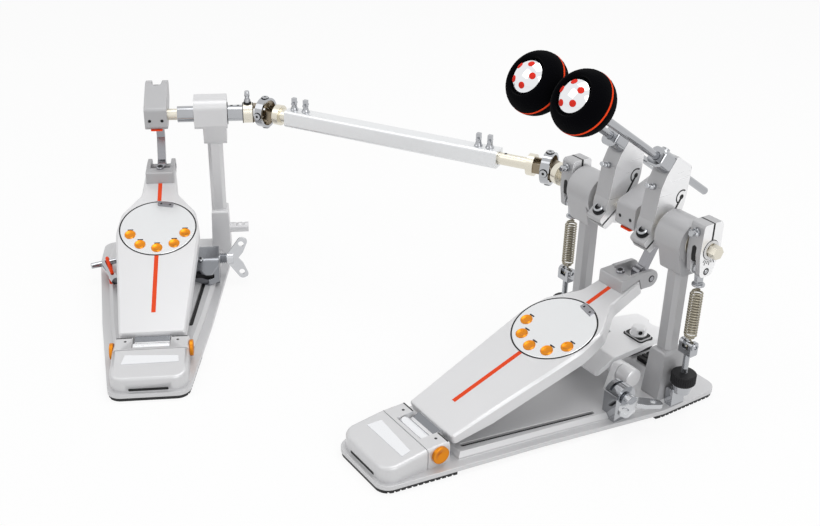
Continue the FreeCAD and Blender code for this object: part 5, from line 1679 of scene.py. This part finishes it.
@dataclass
class ClipTrim:
    """Red strap over the drum key, its screw, the wing bolt's ribbed nut and the clamp's small pieces.

    Attributes:
        strap: points along the strap, in the slave pedal's millimetres.
        thick: radius of the strap.
        screw: place of the dark screw.
        screw_size: radius and height of that screw.
        nut: start of the ribbed nut.
        nut_ribs: number of the nut's ribs, and their pitch.
        rib: outline of one of them.
        slot: extent along x and y of the dark fill in the clamp's slot, painted shade.
        shade_levels: lower and upper side of that painted shade.
        bolt: foot of the small bolt on the clamp.
        bolt_way: direction of that bolt.
        bolt_head: outline of that bolt.
        socket: outline of the dark fill in its socket, painted shade.
        socket_up: height of the socket over the bolt's foot.
        seals: where the housing's two seals lie along x.
        seal_radii: inner and outer radius of a seal.
        seal_levels: inner and outer face of a seal.
    """

    strap: tuple[Triple, ...] = (
        (-69.0, -50.0, 18.5), (-69.6, -51.5, 23.5), (-70.0, -55.0, 27.6), (-68.6, -63.0, 29.2),
        (-66.0, -73.0, 29.2), (-62.6, -86.0, 29.0), (-60.0, -95.0, 28.6), (-59.0, -98.5, 27.6),
    )
    thick: float = 2.1
    screw: Triple = (-69.8, -45.2, 18.8)
    screw_size: Pair = (1.9, 0.5)
    nut: Triple = (69.6, -80.0, 34.0)
    nut_ribs: tuple[int, float] = (4, 2.2)
    rib: tuple[Pair, ...] = ((0.0, 5.2), (0.5, 6.6), (1.3, 6.6), (1.8, 5.2))
    slot: Quad = (37.5, 62.0, -110.0, -98.2)
    shade_levels: Pair = (23.2, 27.8)
    bolt: Triple = (47.3, -99.4, 41.6)
    bolt_way: Triple = (0.0, -0.3, 0.95)
    bolt_head: tuple[Pair, ...] = ((0, 3.4), (3.0, 3.4), (3.6, 2.8))
    socket: tuple[Pair, ...] = ((0, 1.9), (1.3, 1.85))
    socket_up: float = 2.6
    seals: Pair = (45.9, 86.1)
    seal_radii: Pair = (10.2, 13.8)
    seal_levels: Pair = (-0.4, 0.55)

    def form(self, name: str, finish: Finish, body: str = "slave_base") -> Form:
        """Starts a piece of the slave pedal."""
        return Form(name, body, finish, Pedal.SLAVE)

    def clamp(self) -> None:
        """Makes the clamp's small bolt, its painted shade in slot and socket, and the housing's seals."""
        foot, way = Vector(self.bolt), Vector(self.bolt_way)
        darks = self.form("slave_clamp_darks", BLACK_AND_SHADE)
        darks.slab(rectangle(*self.slot, 1.0), *self.shade_levels)
        darks.lathe(foot + UP * self.socket_up, way, self.socket, 6)
        for x, out in zip(self.seals, (-1.0, 1.0)):
            spot, way_out = Vector((x, 0.0, AXLE_Z)), Vector((out, 0.0, 0.0))
            darks.ring(spot, way_out, self.seal_radii, self.seal_levels, 56)
        darks.done()
        self.form("slave_clamp_bolt", CHROME).lathe(foot, way, self.bolt_head, 28).done()

    def build(self) -> None:
        """Makes the clamp's small pieces, the strap, the screw and the nut."""
        self.clamp()
        self.form("key_strap", RED_CLIP).tube([Vector(p) for p in self.strap], self.thick, 14).done()
        self.form("clip_screw", BLACK_AND_SHADE).pin(self.screw, UP, *self.screw_size, 0.15, 20).done()
        nut = self.form("slave_wing_nut", GREY_CHROME, "slave_clamp_wing")
        nut.lathe(Vector(self.nut), ACROSS, ribs(*self.nut_ribs, self.rib), 32).done()


@dataclass
class Studio:
    """Camera, floor and light.

    Attributes:
        place: camera place in millimetres.
        turn: compass turn, downward tilt and roll of the camera in degrees.
        lens: focal length in millimetres.
        sensor: width of the sensor in millimetres.
        far: distance in metres up to which the camera sees.
        reach: half the floor's side in metres.
        drop: how far the floor lies under the object, in metres.
        paper: grey of the floor.
        clear: how much of the floor is plain white to the camera.
        sky: strength of the light from all round.
        middle: the point that the lamps face.
        lamps: name, place, side in metres and power in watts of each lamp.
    """

    place: Triple = (726.72, -782.54, 669.04)
    turn: Triple = (55.334, 27.381, 1.350)
    lens: float = 49.023
    sensor: float = 36.0
    far: float = 20.0
    reach: float = 6.0
    drop: float = 0.0004
    paper: float = 0.92
    clear: float = 0.88
    sky: float = 0.66
    middle: Triple = (-0.2, -0.15, 0.15)
    lamps: tuple[tuple[str, Triple, float, float], ...] = (
        ("key_light", (1.9, -0.5, 1.5), 1.4, 13.0),
        ("fill_light", (-0.7, -1.7, 1.9), 1.4, 6.0),
        ("top_light", (-0.1, 0.3, 2.3), 1.6, 20.0),
    )

    def camera(self) -> None:
        """Makes the camera at the photograph's angle."""
        data = bpy.data.cameras.new("camera")
        data.lens = self.lens
        data.sensor_width = self.sensor
        data.clip_end = self.far
        camera = bpy.data.objects.new("camera", data)
        bpy.context.scene.collection.objects.link(camera)
        compass, tilt, roll = (math.radians(value) for value in self.turn)
        aim = Matrix.Rotation(compass, 4, "Z") @ Matrix.Rotation(math.pi / 2 - tilt, 4, "X")
        place = Matrix.Translation(Vector(self.place) * MM)
        camera.matrix_world = place @ aim @ Matrix.Rotation(roll, 4, "Z")
        bpy.context.scene.camera = camera

    def lamp(self, name: str, place: Triple, size: float, power: float) -> None:
        """Adds one soft lamp.

        Args:
            name: name of the lamp.
            place: its place in metres.
            size: its side in metres.
            power: its power in watts.
        """
        data = bpy.data.lights.new(name, "AREA")
        data.size = size
        data.energy = power
        lamp = bpy.data.objects.new(name, data)
        lamp.location = place
        aim = Vector(self.middle) - Vector(place)
        lamp.rotation_euler = aim.to_track_quat("-Z", "Y").to_euler()
        bpy.context.scene.collection.objects.link(lamp)

    def clear_rays(self, tree: bpy.types.NodeTree) -> bpy.types.Node:
        """Marks the rays that see the white surroundings.

        Args:
            tree: node tree of the material or the world.

        Returns:
            A node whose value is one for camera, glossy and transmission rays.
        """
        rays = put(tree, "ShaderNodeLightPath")
        first = put(tree, "ShaderNodeMath", operation="MAXIMUM")
        both = put(tree, "ShaderNodeMath", operation="MAXIMUM")
        wire(tree, (rays, "Is Camera Ray", first, 0), (rays, "Is Glossy Ray", first, 1),
             (first, "Value", both, 0), (rays, "Is Transmission Ray", both, 1))
        return both

    def floor(self) -> None:
        """Makes the pale floor, white to the camera, which keeps the soft shadow."""
        mesh = bpy.data.meshes.new("floor")
        corners = rectangle(-self.reach, self.reach, -self.reach, self.reach)
        mesh.from_pydata([(x, y, 0) for x, y in corners], [], [(0, 1, 2, 3)])
        floor = bpy.data.objects.new("floor", mesh)
        floor.location.z = -self.drop
        bpy.context.scene.collection.objects.link(floor)
        material = bpy.data.materials.new("pale_floor")
        material.use_nodes = True
        tree = material.node_tree
        tree.nodes.clear()
        paper = put(tree, "ShaderNodeBsdfDiffuse", {"Color": (self.paper, self.paper, self.paper, 1.0)})
        glow = put(tree, "ShaderNodeEmission", {"Color": WHITE})
        seen = self.clear_rays(tree)
        share = put(tree, "ShaderNodeMath", {1: self.clear}, operation="MULTIPLY")
        mix = put(tree, "ShaderNodeMixShader")
        out = put(tree, "ShaderNodeOutputMaterial")
        wire(tree, (seen, "Value", share, 0), (share, "Value", mix, "Fac"), (paper, "BSDF", mix, 1),
             (glow, "Emission", mix, 2), (mix, "Shader", out, "Surface"))
        mesh.materials.append(material)

    def world(self) -> None:
        """Makes the white surroundings, with a moderate light on the object."""
        world = bpy.data.worlds.new("studio")
        bpy.context.scene.world = world
        world.use_nodes = True
        tree = world.node_tree
        tree.nodes.clear()
        seen = self.clear_rays(tree)
        sky = put(tree, "ShaderNodeBackground", {"Strength": self.sky})
        white = put(tree, "ShaderNodeBackground", {"Color": WHITE})
        mix = put(tree, "ShaderNodeMixShader")
        out = put(tree, "ShaderNodeOutputWorld")
        wire(tree, (seen, "Value", mix, "Fac"), (sky, "Background", mix, 1),
             (white, "Background", mix, 2), (mix, "Shader", out, "Surface"))

    def build(self) -> None:
        """Makes the whole studio."""
        self.camera()
        self.floor()
        self.world()
        for lamp in self.lamps:
            self.lamp(*lamp)
        bpy.context.scene.view_settings.view_transform = "Standard"


def main() -> None:
    """Builds the studio and every piece in order."""
    logging.basicConfig(level=logging.INFO, format="%(name)s: %(message)s")
    Studio().build()
    remade = ("spring", "knob", "beater_felt", "beater_cap")
    swapped = {side.node(what) for side in Side for what in remade}
    for node in sorted(set(frame["nodes"]) - swapped):
        (Skin(node, edge=0.0) if node.endswith("_holder") else Skin(node)).build()
    for pedal, body in ((Pedal.MAIN, "root"), (Pedal.SLAVE, "slave_base")):
        BoardTrim(pedal).build()
        HeelTrim(pedal, body).build()
        ToeTrim(pedal).build()
    PlateTrim(Pedal.MAIN, "root", ((32.0, -238.0), (60.0, -90.0))).build()
    PlateTrim(Pedal.SLAVE, "slave_base", ((38.0, -209.0), (50.0, -104.0))).build()
    JointTrim(Pedal.MAIN, MAIN_JOINT).build()
    JointTrim(Pedal.SLAVE, SLAVE_JOINT).build()
    ShaftTrim().build()
    ClipTrim().build()
    for side, first_dot in ((Side.RIGHT, 104.8), (Side.LEFT, 6.4)):
        HolderTrim(side, side.value * BEATER_X).build()
        RockerTrim(side, side.value * SPRING_X).build()
        BeaterHead(side, side.value * BEATER_X, first_dot).build()
        SpringSet(side, side.value * SPRING_X).build()
    JawTrim().build()


if __name__ == "__main__":
    main()
